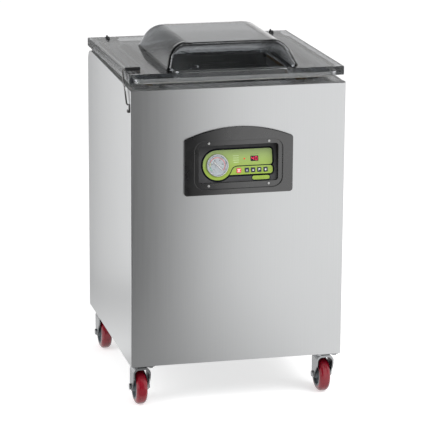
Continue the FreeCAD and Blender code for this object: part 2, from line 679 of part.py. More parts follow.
def tangent_point(outside, centre, radius, side):
    """Where a line from a point outside touches a circle in the YZ plane, on its front or rear."""
    away = outside - centre
    angle = math.atan2(away.z, away.y) + (-side) * math.acos(radius / away.Length)
    return centre + vec(0, radius * math.cos(angle), radius * math.sin(angle))


def fork_arch(half, top, bend):
    """Block under a rounded arch, seen from the front, as long as the fork."""
    reach = max(CROWN_RADIUS, CASTER_TRAIL + FORK_EYE)
    arch = box(-half, half, -reach, reach, 0, top)
    return round_edges(arch, bend, lambda edge: is_along(edge, Y_AXIS) and at_height(edge, top))


def caster_fork():
    """Fork about its own swivel axis: crown and cheeks bent from one sheet, a round seat and the axle bolt."""
    half = FORK_INSIDE / 2
    crown_foot = CROWN_Z - CROWN_HEIGHT
    sheet = fork_arch(half + FORK_SHEET, CROWN_Z, FORK_BEND).cut(
        fork_arch(half, crown_foot, FORK_BEND - FORK_SHEET))
    sheet = sheet.common(fork_outline())
    seat = rod(vec(0, 0, crown_foot), Z_AXIS, FORK_SEAT, CROWN_HEIGHT)
    bore = rod(vec(0, 0, crown_foot), Z_AXIS, KINGPIN_RADIUS + RUNNING, CROWN_HEIGHT)
    left_end = vec(-half - FORK_SHEET - AXLE_HEAD_HEIGHT, CASTER_TRAIL, WHEEL_RADIUS)
    length = FORK_INSIDE + 2 * (FORK_SHEET + AXLE_HEAD_HEIGHT)
    axle = rod(left_end, X_AXIS, AXLE_RADIUS, length)
    heads = [hexagon(left_end, X_AXIS, AXLE_HEAD, AXLE_HEAD_HEIGHT),
             hexagon(left_end + X_AXIS * (length - AXLE_HEAD_HEIGHT), X_AXIS, AXLE_HEAD, AXLE_HEAD_HEIGHT)]
    return fuse_all([sheet, seat, axle] + heads).cut(bore)


def caster_hub():
    """Wheel core: boss, thin web and rim, bored for the axle."""
    rim_radius = WHEEL_RADIUS - TYRE_THICK
    half_rim = TYRE_WIDTH / 2
    half_web = HUB_WEB / 2
    half_boss = HUB_WIDTH / 2
    bore = AXLE_RADIUS + RUNNING
    points = [
        (-half_boss, bore), (-half_boss, HUB_BOSS), (-half_web, HUB_BOSS + HUB_WEB / 2),
        (-half_web, rim_radius - HUB_RIM), (-half_rim, rim_radius - HUB_RIM), (-half_rim, rim_radius),
        (half_rim, rim_radius), (half_rim, rim_radius - HUB_RIM), (half_web, rim_radius - HUB_RIM),
        (half_web, HUB_BOSS + HUB_WEB / 2), (half_boss, HUB_BOSS), (half_boss, bore),
    ]
    return turned(points, vec(0, CASTER_TRAIL, WHEEL_RADIUS))


def caster_tyre():
    """Moulded tyre with a rounded tread, seated on the core's rim."""
    centre = vec(0, CASTER_TRAIL, WHEEL_RADIUS)
    start = centre - X_AXIS * (TYRE_WIDTH / 2)
    tyre = rod(start, X_AXIS, WHEEL_RADIUS, TYRE_WIDTH)
    tyre = tyre.makeFillet(TYRE_CROWN, [edge for edge in tyre.Edges if not edge.isSeam(tyre.Faces[0])])
    return tyre.cut(rod(start, X_AXIS, WHEEL_RADIUS - TYRE_THICK, TYRE_WIDTH))


def vacuum_chamber():
    """Drawn tub with rounded corners under a thick sealing flange."""
    half = CHAMBER_WIDTH / 2
    wall = CHAMBER_WALL
    tub = rounded_slab(-half - wall, half + wall, CHAMBER_Y0 - wall, CHAMBER_Y1 + wall, CHAMBER_FLOOR - wall,
                       TOP_Z - CHAMBER_FLANGE, CHAMBER_CORNER + wall)
    tub = round_edges(tub, CHAMBER_CORNER / 2 + wall, lambda edge: at_height(edge, CHAMBER_FLOOR - wall))
    hollow = rounded_slab(-half, half, CHAMBER_Y0, CHAMBER_Y1, CHAMBER_FLOOR, TOP_Z, CHAMBER_CORNER)
    hollow = round_edges(hollow, CHAMBER_CORNER / 2, lambda edge: at_height(edge, CHAMBER_FLOOR))
    flange = rounded_slab(-FLANGE_X, FLANGE_X, FLANGE_Y0, FLANGE_Y1, TOP_Z - CHAMBER_FLANGE, TOP_Z, BEND)
    port = rod(vec(0, CHAMBER_Y1 - wall, PORT_Z), Y_AXIS, PORT_RADIUS + SCREW_HOLE, 4 * wall)
    return fuse_all([tub, flange]).cut([hollow, port])


def vacuum_port():
    """Bored suction fitting through the chamber's rear wall, with a flange inside."""
    start = vec(0, CHAMBER_Y1 - PORT_FLANGE_THICK, PORT_Z)
    length = PORT_FLANGE_THICK + PORT_LENGTH
    tube = rod(start, Y_AXIS, PORT_RADIUS, length)
    flange = rod(start, Y_AXIS, PORT_FLANGE, PORT_FLANGE_THICK)
    flange = round_edges(flange, PORT_FLANGE_THICK / 2, lambda edge: edge.BoundBox.YMax < CHAMBER_Y1 - 1e-3
                         and not is_along(edge, Y_AXIS))
    return fuse_all([tube, flange]).cut(rod(start, Y_AXIS, PORT_BORE, length))


def filler_plate():
    """Loose plate on the chamber's floor, between the lift cylinders."""
    half = BAR_SPREAD - CYLINDER_RADIUS - FILLER_GAP
    inset = CHAMBER_CORNER / 2 + FILLER_GAP
    plate = rounded_slab(-half, half, CHAMBER_Y0 + inset, CHAMBER_Y1 - inset, CHAMBER_FLOOR,
                         CHAMBER_FLOOR + FILLER_THICK, CHAMBER_CORNER / 2)
    return round_edges(plate, FILLER_THICK / 5, lambda edge: at_height(edge, CHAMBER_FLOOR + FILLER_THICK))


def pin_places():
    return [CHAMBER_MID - PIN_SPREAD, CHAMBER_MID + PIN_SPREAD]


def seal_bar():
    """Left bar: rounded top edges, and a shallow channel for the sealing wire."""
    half = BAR_WIDTH / 2
    x0 = -BAR_SPREAD - half
    bar = box(x0, x0 + BAR_WIDTH, CHAMBER_MID - BAR_LENGTH / 2, CHAMBER_MID + BAR_LENGTH / 2, BAR_Z0, BAR_Z1)
    bar = round_edges(bar, BAR_SHOULDER, lambda edge: is_along(edge, Y_AXIS) and at_height(edge, BAR_Z1))
    channel = box(-BAR_SPREAD - BAR_CHANNEL / 2, -BAR_SPREAD + BAR_CHANNEL / 2, CHAMBER_MID - BAR_LENGTH / 2,
                  CHAMBER_MID + BAR_LENGTH / 2, BAR_Z1 - BAR_CHANNEL_DEPTH, BAR_Z1)
    return bar.cut(channel)


def lift_pins():
    """Piston rods under the left bar."""
    foot = CHAMBER_FLOOR + BAR_TRAVEL
    return Part.makeCompound([rod(vec(-BAR_SPREAD, y, foot), Z_AXIS, PIN_RADIUS, BAR_Z0 - foot)
                              for y in pin_places()])


def lift_cylinders():
    """Cylinders on the chamber's floor that guide the piston rods."""
    height = CYLINDER_TOP - CHAMBER_FLOOR
    solids = []
    for y in pin_places():
        cylinder = rod(vec(-BAR_SPREAD, y, CHAMBER_FLOOR), Z_AXIS, CYLINDER_RADIUS, height)
        cylinder = round_edges(cylinder, CYLINDER_GAP, lambda edge: at_height(edge, CYLINDER_TOP))
        well = rod(vec(-BAR_SPREAD, y, CHAMBER_FLOOR + BAR_TRAVEL / 2), Z_AXIS, PIN_RADIUS + RUNNING, height)
        solids.append(cylinder.cut(well))
    return Part.makeCompound(solids + [mirrored(solid) for solid in solids])


def rounded_outline(x0, x1, y0, y1, z, radius):
    """Level rounded rectangle, drawn as a closed wire."""
    slab = rounded_slab(x0, x1, y0, y1, z, z + 1, radius)
    return [face for face in slab.Faces if at_height(face, z)][0].OuterWire


def dome(side_wall, end_wall, top_wall):
    """Loaf inside these walls: its sides lean in from a rounded foot, and are rounded over into a flat top."""
    height = DOME_HEIGHT - top_wall
    half = DOME_WIDTH / 2 - side_wall
    y0 = DOME_Y0 + end_wall
    y1 = DOME_Y1 - end_wall
    flank, front, rear = [height * math.tan(math.radians(lean)) for lean in (DOME_FLANK, DOME_FRONT, DOME_REAR)]
    top_z = LID_Z1 + height
    foot = rounded_outline(-half, half, y0, y1, LID_Z1, DOME_CORNER - side_wall)
    top = rounded_outline(-half + flank, half - flank, y0 + front, y1 - rear, top_z, DOME_CROWN - side_wall)
    loaf = Part.makeLoft([foot, top], True, True)
    return round_edges(loaf, DOME_ROUND - top_wall, lambda edge: at_height(edge, top_z))


def gasket_ring(width_out, width_in, z0, z1):
    """Rounded rectangular ring over the sealing flange, grown by width_out and width_in."""
    x1 = FLANGE_X - GASKET_INSET
    y0 = FLANGE_Y0 + GASKET_INSET
    y1 = FLANGE_Y1 - GASKET_INSET
    outer = rounded_slab(-x1 - width_out, x1 + width_out, y0 - width_out, y1 + width_out, z0, z1,
                         GASKET_CORNER + width_out)
    inset = GASKET_WIDTH + width_in
    inner = rounded_slab(-x1 + inset, x1 - inset, y0 + inset, y1 - inset, z0, z1,
                         GASKET_CORNER - GASKET_WIDTH)
    return outer.cut(inner)


def lid_bolt_places():
    """Bolt places through the lid, over each hinge leaf."""
    back = HINGE_Y - LEAF_LENGTH
    middle = (LID_Y1 + back) / 2
    return [(side * HINGE_SPREAD, middle + shift * LID_BOLT_PITCH / 2) for side in (-1, 1) for shift in (-1, 1)]


def lid():
    """Clear plate with a moulded dome over its opening and a groove for the gasket, drawn shut."""
    plate = rounded_slab(-SIDE_X, SIDE_X, LID_Y0, LID_Y1, LID_Z0, LID_Z1, LID_CORNER)
    plate = plate.makeChamfer(LID_CHAMFER, [edge for edge in plate.Edges
                                            if at_height(edge, LID_Z0) or at_height(edge, LID_Z1)])
    shell = dome(0, 0, 0)
    hollow = dome(DOME_SIDE_WALL, DOME_END_WALL, DOME_WALL)
    half = DOME_WIDTH / 2 - DOME_SIDE_WALL
    well = rounded_slab(-half, half, DOME_Y0 + DOME_END_WALL, DOME_Y1 - DOME_END_WALL, LID_Z0, LID_Z1,
                        DOME_CORNER - DOME_SIDE_WALL)
    groove = gasket_ring(GASKET_FIT, GASKET_FIT, LID_Z0, LID_Z0 + GASKET_SEAT)
    holes = [rod(vec(x, y, LID_Z0), Z_AXIS, LID_BOLT + SCREW_HOLE, LID_THICK) for x, y in lid_bolt_places()]
    return fuse_all([plate, shell]).cut([hollow, well, groove] + holes)


def lid_gasket():
    """Soft ring seated in the lid's groove, rounded where it meets the flange."""
    foot = TOP_Z + SEAL_GAP
    ring = gasket_ring(0, 0, foot, LID_Z0 + GASKET_SEAT)
    return round_edges(ring, GASKET_ROUND, lambda edge: at_height(edge, foot))


def pressure_strip():
    """Left strip under the lid that the raised bar presses against: a holder with a soft face."""
    x0 = -BAR_SPREAD - STRIP_WIDTH / 2
    half = BAR_LENGTH / 2
    strip = box(x0, x0 + STRIP_WIDTH, CHAMBER_MID - half, CHAMBER_MID + half, STRIP_Z0, LID_Z0)
    return round_edges(strip, STRIP_THICK / 4, lambda edge: is_along(edge, Y_AXIS)
                       and at_height(edge, STRIP_Z0))


def lid_pressure_strips():
    strip = pressure_strip()
    return Part.makeCompound([strip, mirrored(strip)])


def hinge_leaves():
    """Flat leaves under the lid's rear edge, each rolled round its pin."""
    middle = HINGE_SPREAD
    half = LEAF_WIDTH / 2
    z0 = LID_Z0 - LEAF_THICK
    wide = rounded_slab(middle - half, middle + half, HINGE_Y - LEAF_LENGTH, HINGE_Y - LEAF_CLEAR, z0, LID_Z0,
                        LEAF_THICK)
    start = middle + half - KNUCKLE_LENGTH
    tongue = box(start, middle + half, HINGE_Y - LEAF_LENGTH / 2, HINGE_Y, z0, LID_Z0)
    knuckle = rod(vec(start, HINGE_Y, HINGE_Z), X_AXIS, KNUCKLE_RADIUS, KNUCKLE_LENGTH)
    bore = rod(vec(start, HINGE_Y, HINGE_Z), X_AXIS, HINGE_PIN + RUNNING, KNUCKLE_LENGTH)
    cuts = [rod(vec(x, y, z0), Z_AXIS, LID_BOLT + SCREW_HOLE, LEAF_THICK)
            for x, y in lid_bolt_places() if x > 0]
    leaf = fuse_all([wide, tongue, knuckle]).cut([bore] + cuts)
    return Part.makeCompound([leaf, mirrored(leaf)])


def ear_spans():
    """Left and right ear of the right-hand bracket, along X."""
    half = LEAF_WIDTH / 2
    inner_end = HINGE_SPREAD + half - KNUCKLE_LENGTH - SPRING_LENGTH - 2 * EAR_GAP
    outer_start = HINGE_SPREAD + half + EAR_GAP
    return (inner_end - EAR_THICK, inner_end), (outer_start, outer_start + EAR_THICK)


def bracket_ear(x0, x1):
    """Cheek that reaches from the bracket's plate up to the hinge pin."""
    low = TOP_Z - BRACKET_TOP - BRACKET_HEIGHT
    outline = Part.makePolygon([
        vec(x0, REAR_Y, low), vec(x0, REAR_Y, TOP_Z - BRACKET_TOP), vec(x0, HINGE_Y - EAR_RADIUS, HINGE_Z),
        vec(x0, HINGE_Y + EAR_RADIUS, HINGE_Z), vec(x0, REAR_Y + 3 * BRACKET_PLATE, low),
        vec(x0, REAR_Y, low),
    ])
    cheek = Part.Face(outline).extrude(X_AXIS * (x1 - x0))
    return cheek.fuse(rod(vec(x0, HINGE_Y, HINGE_Z), X_AXIS, EAR_RADIUS, x1 - x0))


def hinge_brackets():
    """Plates on the cabinet's rear, each with two cheeks for its pin."""
    spans = ear_spans()
    low = TOP_Z - BRACKET_TOP - BRACKET_HEIGHT
    plate = box(spans[0][0], spans[1][1], REAR_Y, REAR_Y + BRACKET_PLATE, low, TOP_Z - BRACKET_TOP)
    ears = [bracket_ear(x0, x1) for x0, x1 in spans]
    bore = rod(vec(spans[0][0], HINGE_Y, HINGE_Z), X_AXIS, HINGE_PIN, spans[1][1] - spans[0][0])
    holes = [rod(vec(x, REAR_Y, z), Y_AXIS, SCREW_RADIUS + SCREW_HOLE, BRACKET_PLATE)
             for x, z in bracket_screw_places() if x > 0]
    bracket = fuse_all([plate] + ears).cut([bore] + holes)
    return Part.makeCompound([bracket, mirrored(bracket)])


def hinge_pins():
    spans = ear_spans()
    pin = rod(vec(spans[0][0], HINGE_Y, HINGE_Z), X_AXIS, HINGE_PIN, spans[1][1] - spans[0][0])
    return Part.makeCompound([pin, mirrored(pin)])


def lid_springs():
    """Torsion springs wound round the hinge pins, inside the brackets' cheeks."""
    start = ear_spans()[0][1] + EAR_GAP
    pitch = (SPRING_LENGTH - 2 * SPRING_WIRE - 2 * EAR_GAP) / SPRING_TURNS
    helix = Part.makeHelix(pitch, pitch * SPRING_TURNS, SPRING_RADIUS)
    section = Part.Wire(Part.makeCircle(SPRING_WIRE, vec(SPRING_RADIUS, 0, 0), Y_AXIS))
    coil = Part.Wire(helix.Edges).makePipeShell([section], True, True)
    coil.Placement = FreeCAD.Placement(vec(start + SPRING_WIRE, HINGE_Y, HINGE_Z),
                                       FreeCAD.Rotation(Y_AXIS, 90))
    return Part.makeCompound([coil, mirrored(coil)])


def hinge_bolts():
    """Bolts up through the leaves and the lid, with their nuts and ends standing on the lid's top."""
    bolts = []
    foot = LID_Z0 - LEAF_THICK
    length = LEAF_THICK + LID_THICK + LID_BOLT_HEAD_HEIGHT + LID_BOLT_PROUD
    for x, y in lid_bolt_places():
        head = rod(vec(x, y, foot - LID_BOLT_FLAT), Z_AXIS, LID_BOLT_HEAD, LID_BOLT_FLAT)
        shank = rod(vec(x, y, foot), Z_AXIS, LID_BOLT, length)
        nut = hexagon(vec(x, y, LID_Z1), Z_AXIS, LID_BOLT_HEAD, LID_BOLT_HEAD_HEIGHT)
        bolts.append(fuse_all([head, shank, nut]))
    return Part.makeCompound(bolts)


def hook_sleeve():
    """Tube on a flat foot across the lid's left edge, bored for the hook."""
    x0 = -SIDE_X + SLEEVE_INSET
    tube = rod(vec(x0, HOOK_Y, HOOK_Z), X_AXIS, SLEEVE_RADIUS, SLEEVE_LENGTH)
    foot = box(x0, x0 + SLEEVE_LENGTH, HOOK_Y - SLEEVE_RADIUS, HOOK_Y + SLEEVE_RADIUS, LID_Z1, HOOK_Z)
    bore = rod(vec(x0, HOOK_Y, HOOK_Z), X_AXIS, HOOK_WIRE + RUNNING, SLEEVE_LENGTH)
    return fuse_all([tube, foot]).cut(bore)


def hook_wire():
    """Bent wire: its upper run turns in the sleeve, its leg leans forward, and its foot turns in."""
    foot = vec(HOOK_X, HOOK_Y - HOOK_LEAN, HOOK_Z - HOOK_DROP)
    points = [
        vec(-SIDE_X + SLEEVE_INSET + SLEEVE_LENGTH, HOOK_Y, HOOK_Z),
        vec(HOOK_X, HOOK_Y, HOOK_Z),
        foot,
        foot + X_AXIS * HOOK_FOOT_BEND,
    ]
    return bent_rod(points, [HOOK_BEND, HOOK_FOOT_BEND], HOOK_WIRE)


def hook_keeper():
    """Catch on the cabinet's left side: a plate with a ledge and an upturned lip."""
    foot_z = HOOK_Z - HOOK_DROP
    y1 = HOOK_Y - HOOK_LEAN - HOOK_WIRE - KEEPER_GAP
    z0 = foot_z - KEEPER_DROP
    outline = Part.makePolygon([
        vec(0, 0, 0), vec(-KEEPER_REACH, 0, 0), vec(-KEEPER_REACH, 0, KEEPER_LIP),
        vec(-KEEPER_REACH + KEEPER_PLATE, 0, KEEPER_LIP), vec(-KEEPER_REACH + KEEPER_PLATE, 0, KEEPER_PLATE),
        vec(-KEEPER_PLATE, 0, KEEPER_PLATE), vec(-KEEPER_PLATE, 0, KEEPER_HEIGHT), vec(0, 0, KEEPER_HEIGHT),
        vec(0, 0, 0),
    ])
    catch = Part.Face(outline).extrude(Y_AXIS * KEEPER_WIDTH)
    return catch.translated(vec(-SIDE_X, y1 - KEEPER_WIDTH, z0))


def window_block(grow, back, front):
    """Rounded block through the bezel's window, from back to front of the cabinet's face."""
    half = WINDOW_WIDTH / 2 + grow
    block = rounded_slab(-half, half, WINDOW_FOOT - grow, WINDOW_TOP + grow, back, front,
                         WINDOW_CORNER + grow)
    return on_face(block, FRONT_FACE)


def control_bezel():
    """Moulded frame with an arched top, a shallow tray in its face and a sleeve round the window."""
    half = BEZEL_WIDTH / 2
    left_foot = vec(-half, BEZEL_FOOT, 0)
    right_foot = vec(half, BEZEL_FOOT, 0)
    left_shoulder = vec(-half, BEZEL_SHOULDER, 0)
    right_shoulder = vec(half, BEZEL_SHOULDER, 0)
    edges = [
        Part.LineSegment(left_foot, right_foot).toShape(),
        Part.LineSegment(right_foot, right_shoulder).toShape(),
        Part.Arc(right_shoulder, vec(0, BEZEL_CROWN, 0), left_shoulder).toShape(),
        Part.LineSegment(left_shoulder, left_foot).toShape(),
    ]
    frame = Part.Face(Part.Wire(edges)).extrude(Z_AXIS * BEZEL_PROUD)
    frame = round_edges(frame, BEZEL_CORNER, lambda edge: is_along(edge, Z_AXIS))
    frame = round_edges(frame, BEZEL_EDGE, lambda edge: at_height(edge, BEZEL_PROUD))
    tray_half = TRAY_WIDTH / 2
    tray = rounded_slab(-tray_half, tray_half, TRAY_FOOT, TRAY_TOP, BEZEL_PROUD - TRAY_DEPTH, BEZEL_PROUD,
                        TRAY_CORNER)
    holes = [rod(vec(x, z, 0), Z_AXIS, SCREW_RADIUS + SCREW_HOLE, BEZEL_PROUD)
             for x, z in bezel_screw_places()]
    frame = frame.cut(tray)
    frame = round_edges(frame, TRAY_LIP, lambda edge: at_height(edge, BEZEL_PROUD)
                        and abs(edge.CenterOfMass.x) < tray_half + 1e-3
                        and TRAY_FOOT - 1e-3 < edge.CenterOfMass.y < TRAY_TOP + 1e-3)
    frame = on_face(frame.cut(holes), FRONT_FACE)
    sleeve = window_block(WINDOW_WALL, -WINDOW_DEPTH, 0)
    return fuse_all([frame, sleeve]).cut(window_block(0, -WINDOW_DEPTH, BEZEL_PROUD))


def fascia_block(x0, x1, y0, y1, z0, z1, radius):
    """Rounded block on the sloping fascia: across, up the slope, and out of it."""
    return on_face(rounded_slab(x0, x1, y0, y1, z0, z1, radius), FASCIA_FACE)


def fascia_rod(x, y, z0, z1, radius):
    return on_face(rod(vec(x, y, z0), Z_AXIS, radius, z1 - z0), FASCIA_FACE)


def key_places():
    """Each key's place across the fascia and its width."""
    places = {"stop_key": (STOP_X, STOP_WIDTH)}
    for number, x in enumerate(KEY_XS, start=1):
        places["key_%d" % number] = (x, KEY_WIDTH)
    return places


def key_block(x, width, grow, z0, z1):
    half = width / 2 + grow
    rise = KEY_HEIGHT / 2 + grow
    return fascia_block(x - half, x + half, KEY_Y - rise, KEY_Y + rise, z0, z1, KEY_CORNER + grow)


def fascia_openings():
    """Holes for the gauge, the lamp, the display and the keys, right through the fascia and its overlay."""
    back = -2 * FASCIA_THICK
    front = 2 * FASCIA_THICK
    half_w = DISPLAY_WIDTH / 2 + FASCIA_FIT
    half_h = DISPLAY_HEIGHT / 2 + FASCIA_FIT
    cuts = [
        fascia_rod(GAUGE_X, GAUGE_Y, back, front, GAUGE_BODY + FASCIA_FIT),
        fascia_rod(LAMP_X, LAMP_Y, back, front, LAMP_RADIUS + FASCIA_FIT),
        fascia_block(DISPLAY_X - half_w, DISPLAY_X + half_w, DISPLAY_Y - half_h, DISPLAY_Y + half_h,
                     back, front, KEY_CORNER),
    ]
    cuts += [key_block(x, width, KEY_GAP, back, front) for x, width in key_places().values()]
    return cuts


def boss_places():
    return [(x, y) for x in (BOARD_LEFT + BOSS_INSET, BOARD_RIGHT - BOSS_INSET)
            for y in (BOARD_FOOT + BOSS_INSET, BOARD_TOP - BOSS_INSET)]


def control_fascia():
    """Sloping plate across the bezel's window, with bosses behind it for the board."""
    reach = WINDOW_WIDTH
    plate = on_face(box(-reach, reach, -reach, reach, -FASCIA_THICK, 0), FASCIA_FACE)
    plate = plate.common(window_block(-FASCIA_FIT, -WINDOW_DEPTH, 0))
    bosses = [fascia_rod(x, y, -BOARD_SINK, -FASCIA_THICK, BOSS_RADIUS) for x, y in boss_places()]
    return fuse_all([plate] + bosses).cut(fascia_openings())


def upper_field(grow, z0, z1):
    """Disc round the gauge that runs into a band, with a swept corner below, grown all round."""
    foot = OVERLAY_MIDDLE - grow
    ring = OVERLAY_RING + grow
    disc = Part.makeCylinder(ring, z1 - z0, vec(GAUGE_X, GAUGE_Y, z0))
    band = rounded_slab(GAUGE_X, OVERLAY_RIGHT + grow, foot, OVERLAY_TOP + grow, z0, z1,
                        OVERLAY_CORNER + grow)
    start = box(GAUGE_X, GAUGE_X + ring / 2, GAUGE_Y, OVERLAY_TOP + grow, z0, z1)
    corner = GAUGE_X + math.sqrt(ring ** 2 - (foot - GAUGE_Y) ** 2)
    whole = fuse_all([disc, band, start])
    return round_edges(whole, OVERLAY_SWEEP - grow, lambda edge: is_along(edge, Z_AXIS)
                       and abs(edge.CenterOfMass.x - corner) < 1e-3
                       and abs(edge.CenterOfMass.y - foot) < 1e-3)


def lower_field(grow, gap, z0, z1):
    """Band under the upper field, whose left end follows the sweep at a gap."""
    top = OVERLAY_MIDDLE - OVERLAY_GAP + grow
    band = rounded_slab(GAUGE_X, OVERLAY_RIGHT + grow, OVERLAY_FOOT - grow, top, z0, z1,
                        OVERLAY_CORNER + grow)
    return band.cut(upper_field(gap, z0, z1))


def pill_field(grow, z0, z1):
    half = PILL_WIDTH / 2 + grow
    rise = PILL_HEIGHT / 2 + grow
    return rounded_slab(PILL_X - half, PILL_X + half, PILL_Y - rise, PILL_Y + rise, z0, z1, rise * PILL_ROUND)


def control_overlay():
    """Films on the fascia: a dark backing, and on it two green fields and a bare green pill."""
    backing = fuse_all([
        upper_field(OVERLAY_BORDER, 0, OVERLAY_BACKING),
        lower_field(OVERLAY_BORDER, OVERLAY_BORDER, 0, OVERLAY_BACKING),
        pill_field(OVERLAY_BORDER, 0, OVERLAY_BACKING),
    ])
    cuts = fascia_openings()
    films = [
        backing,
        upper_field(0, OVERLAY_BACKING, OVERLAY_THICK),
        lower_field(0, OVERLAY_GAP, OVERLAY_BACKING, OVERLAY_THICK),
        pill_field(0, OVERLAY_BACKING, OVERLAY_THICK),
    ]
    return Part.makeCompound([on_face(film, FASCIA_FACE).cut(cuts) for film in films])


def gauge_case():
    """Round gauge body with a raised rim, a sunk dial, an arbor and a rear stem."""
    solid = Part.makeCylinder(GAUGE_BODY, GAUGE_DEPTH + OVERLAY_THICK, vec(GAUGE_X, GAUGE_Y, -GAUGE_DEPTH))
    rim = Part.makeCylinder(GAUGE_RADIUS, GAUGE_PROUD - OVERLAY_THICK, vec(GAUGE_X, GAUGE_Y, OVERLAY_THICK))
    rim = round_edges(rim, GAUGE_RIM / 2.5, lambda edge: at_height(edge, GAUGE_PROUD))
    stem = hexagon(vec(GAUGE_X, GAUGE_Y, -GAUGE_DEPTH), -Z_AXIS, GAUGE_STEM, GAUGE_STEM_LENGTH)
    well = Part.makeCylinder(GAUGE_RADIUS - GAUGE_RIM, GAUGE_PROUD, vec(GAUGE_X, GAUGE_Y, GAUGE_DIAL))
    arbor_height = NEEDLE_LIFT + NEEDLE_THICK * 1.5
    arbor = Part.makeCylinder(ARBOR_RADIUS, arbor_height, vec(GAUGE_X, GAUGE_Y, GAUGE_DIAL))
    return on_face(fuse_all([fuse_all([solid, rim, stem]).cut(well), arbor]), FASCIA_FACE)


def gauge_lens():
    z1 = GAUGE_PROUD - LENS_SETBACK
    return fascia_rod(GAUGE_X, GAUGE_Y, z1 - LENS_THICK, z1, GAUGE_RADIUS - GAUGE_RIM)


def gauge_needle():
    """Tapered pointer with a tail and a hub on the gauge's arbor, at its resting angle."""
    half = NEEDLE_WIDTH / 2
    outline = Part.makePolygon([
        vec(-NEEDLE_TAIL, -half, 0), vec(0, -half, 0), vec(NEEDLE_LENGTH, -half / 4, 0),
        vec(NEEDLE_LENGTH, half / 4, 0), vec(0, half, 0), vec(-NEEDLE_TAIL, half, 0),
        vec(-NEEDLE_TAIL, -half, 0),
    ])
    pointer = Part.Face(outline).extrude(Z_AXIS * NEEDLE_THICK)
    hub = Part.makeCylinder(NEEDLE_HUB, NEEDLE_THICK)
    whole = fuse_all([pointer, hub]).cut(Part.makeCylinder(ARBOR_RADIUS + RUNNING, NEEDLE_THICK))
    whole.Placement = FreeCAD.Placement(vec(GAUGE_X, GAUGE_Y, GAUGE_DIAL + NEEDLE_LIFT),
                                        FreeCAD.Rotation(Z_AXIS, NEEDLE_REST))
    return on_face(whole, FASCIA_FACE)


def status_lamp():
    """Small domed lens through the overlay."""
    lens = rod(vec(LAMP_X, LAMP_Y, -FASCIA_THICK), Z_AXIS, LAMP_RADIUS, FASCIA_THICK + 2 * OVERLAY_THICK)
    lens = round_edges(lens, OVERLAY_THICK, lambda edge: at_height(edge, 2 * OVERLAY_THICK))
    return on_face(lens, FASCIA_FACE)


def display_window():
    half_w = DISPLAY_WIDTH / 2
    half_h = DISPLAY_HEIGHT / 2
    return fascia_block(DISPLAY_X - half_w, DISPLAY_X + half_w, DISPLAY_Y - half_h, DISPLAY_Y + half_h,
                        -FASCIA_THICK, DISPLAY_PROUD, KEY_CORNER - FASCIA_FIT)


def key(x, width):
    """Square key with a softened face, sliding through the overlay and the fascia."""
    cap = rounded_slab(x - width / 2, x + width / 2, KEY_Y - KEY_HEIGHT / 2, KEY_Y + KEY_HEIGHT / 2,
                       -KEY_ROOT, KEY_PROUD, KEY_CORNER)
    cap = round_edges(cap, KEY_GAP, lambda edge: at_height(edge, KEY_PROUD))
    return on_face(cap, FASCIA_FACE)


def control_board():
    """Circuit board on the fascia's bosses, with a switch behind each key and a display block."""
    board = box(BOARD_LEFT, BOARD_RIGHT, BOARD_FOOT, BOARD_TOP, -BOARD_SINK - BOARD_THICK, -BOARD_SINK)
    half = SWITCH_SIZE / 2
    switch_top = -KEY_ROOT - KEY_TRAVEL - KEY_GAP
    blocks = [box(x - half, x + half, KEY_Y - half, KEY_Y + half, -BOARD_SINK, switch_top)
              for x, width in key_places().values()]
    wide = DISPLAY_WIDTH / 2
    rise = DISPLAY_HEIGHT / 2
    blocks.append(box(DISPLAY_X - wide, DISPLAY_X + wide, DISPLAY_Y - rise, DISPLAY_Y + rise,
                      -BOARD_SINK, -FASCIA_THICK))
    blocks.append(rod(vec(LAMP_X, LAMP_Y, -BOARD_SINK), Z_AXIS, LAMP_RADIUS, BOARD_SINK - FASCIA_THICK))
    return on_face(fuse_all([board] + blocks), FASCIA_FACE)


def vacuum_pump():
    """Cast pump block with cooling ribs, mounting feet and a suction inlet on top."""
    half = PUMP_LENGTH / 2
    deep = PUMP_WIDTH / 2
    top = PAN_FLOOR + PUMP_HEIGHT
    body = rounded_slab(PUMP_X - half, PUMP_X + half, PUMP_Y - deep, PUMP_Y + deep,
                        PAN_FLOOR + PUMP_FOOT, top, PUMP_FOOT)
    body = round_edges(body, PUMP_FOOT / 2, lambda edge: at_height(edge, top))
    feet = [box(PUMP_X - half + offset, PUMP_X - half + offset + 2 * PUMP_FOOT, PUMP_Y - deep, PUMP_Y + deep,
                PAN_FLOOR, PAN_FLOOR + PUMP_FOOT) for offset in (PUMP_FOOT, PUMP_LENGTH - 3 * PUMP_FOOT)]
    pitch = (PUMP_LENGTH - 4 * PUMP_FOOT) / (PUMP_RIBS - 1)
    reach = deep + PUMP_RIB_HEIGHT
    ribs = []
    for index in range(PUMP_RIBS):
        x = PUMP_X - half + 2 * PUMP_FOOT + index * pitch
        ribs.append(box(x - pitch / 6, x + pitch / 6, PUMP_Y - reach, PUMP_Y + reach,
                        PAN_FLOOR + 2 * PUMP_FOOT, top - PUMP_FOOT))
    inlet_y = CHAMBER_Y1 + PORT_LENGTH + HOSE_RUN
    inlet = rod(vec(0, inlet_y, top), Z_AXIS, INLET_RADIUS, INLET_HEIGHT)
    arm = box(-INLET_ARM / 2, INLET_ARM / 2, PUMP_Y + deep / 2, inlet_y + INLET_ARM / 2,
              top - 2 * PUMP_FOOT, top)
    return fuse_all([body, arm, inlet] + feet + ribs)


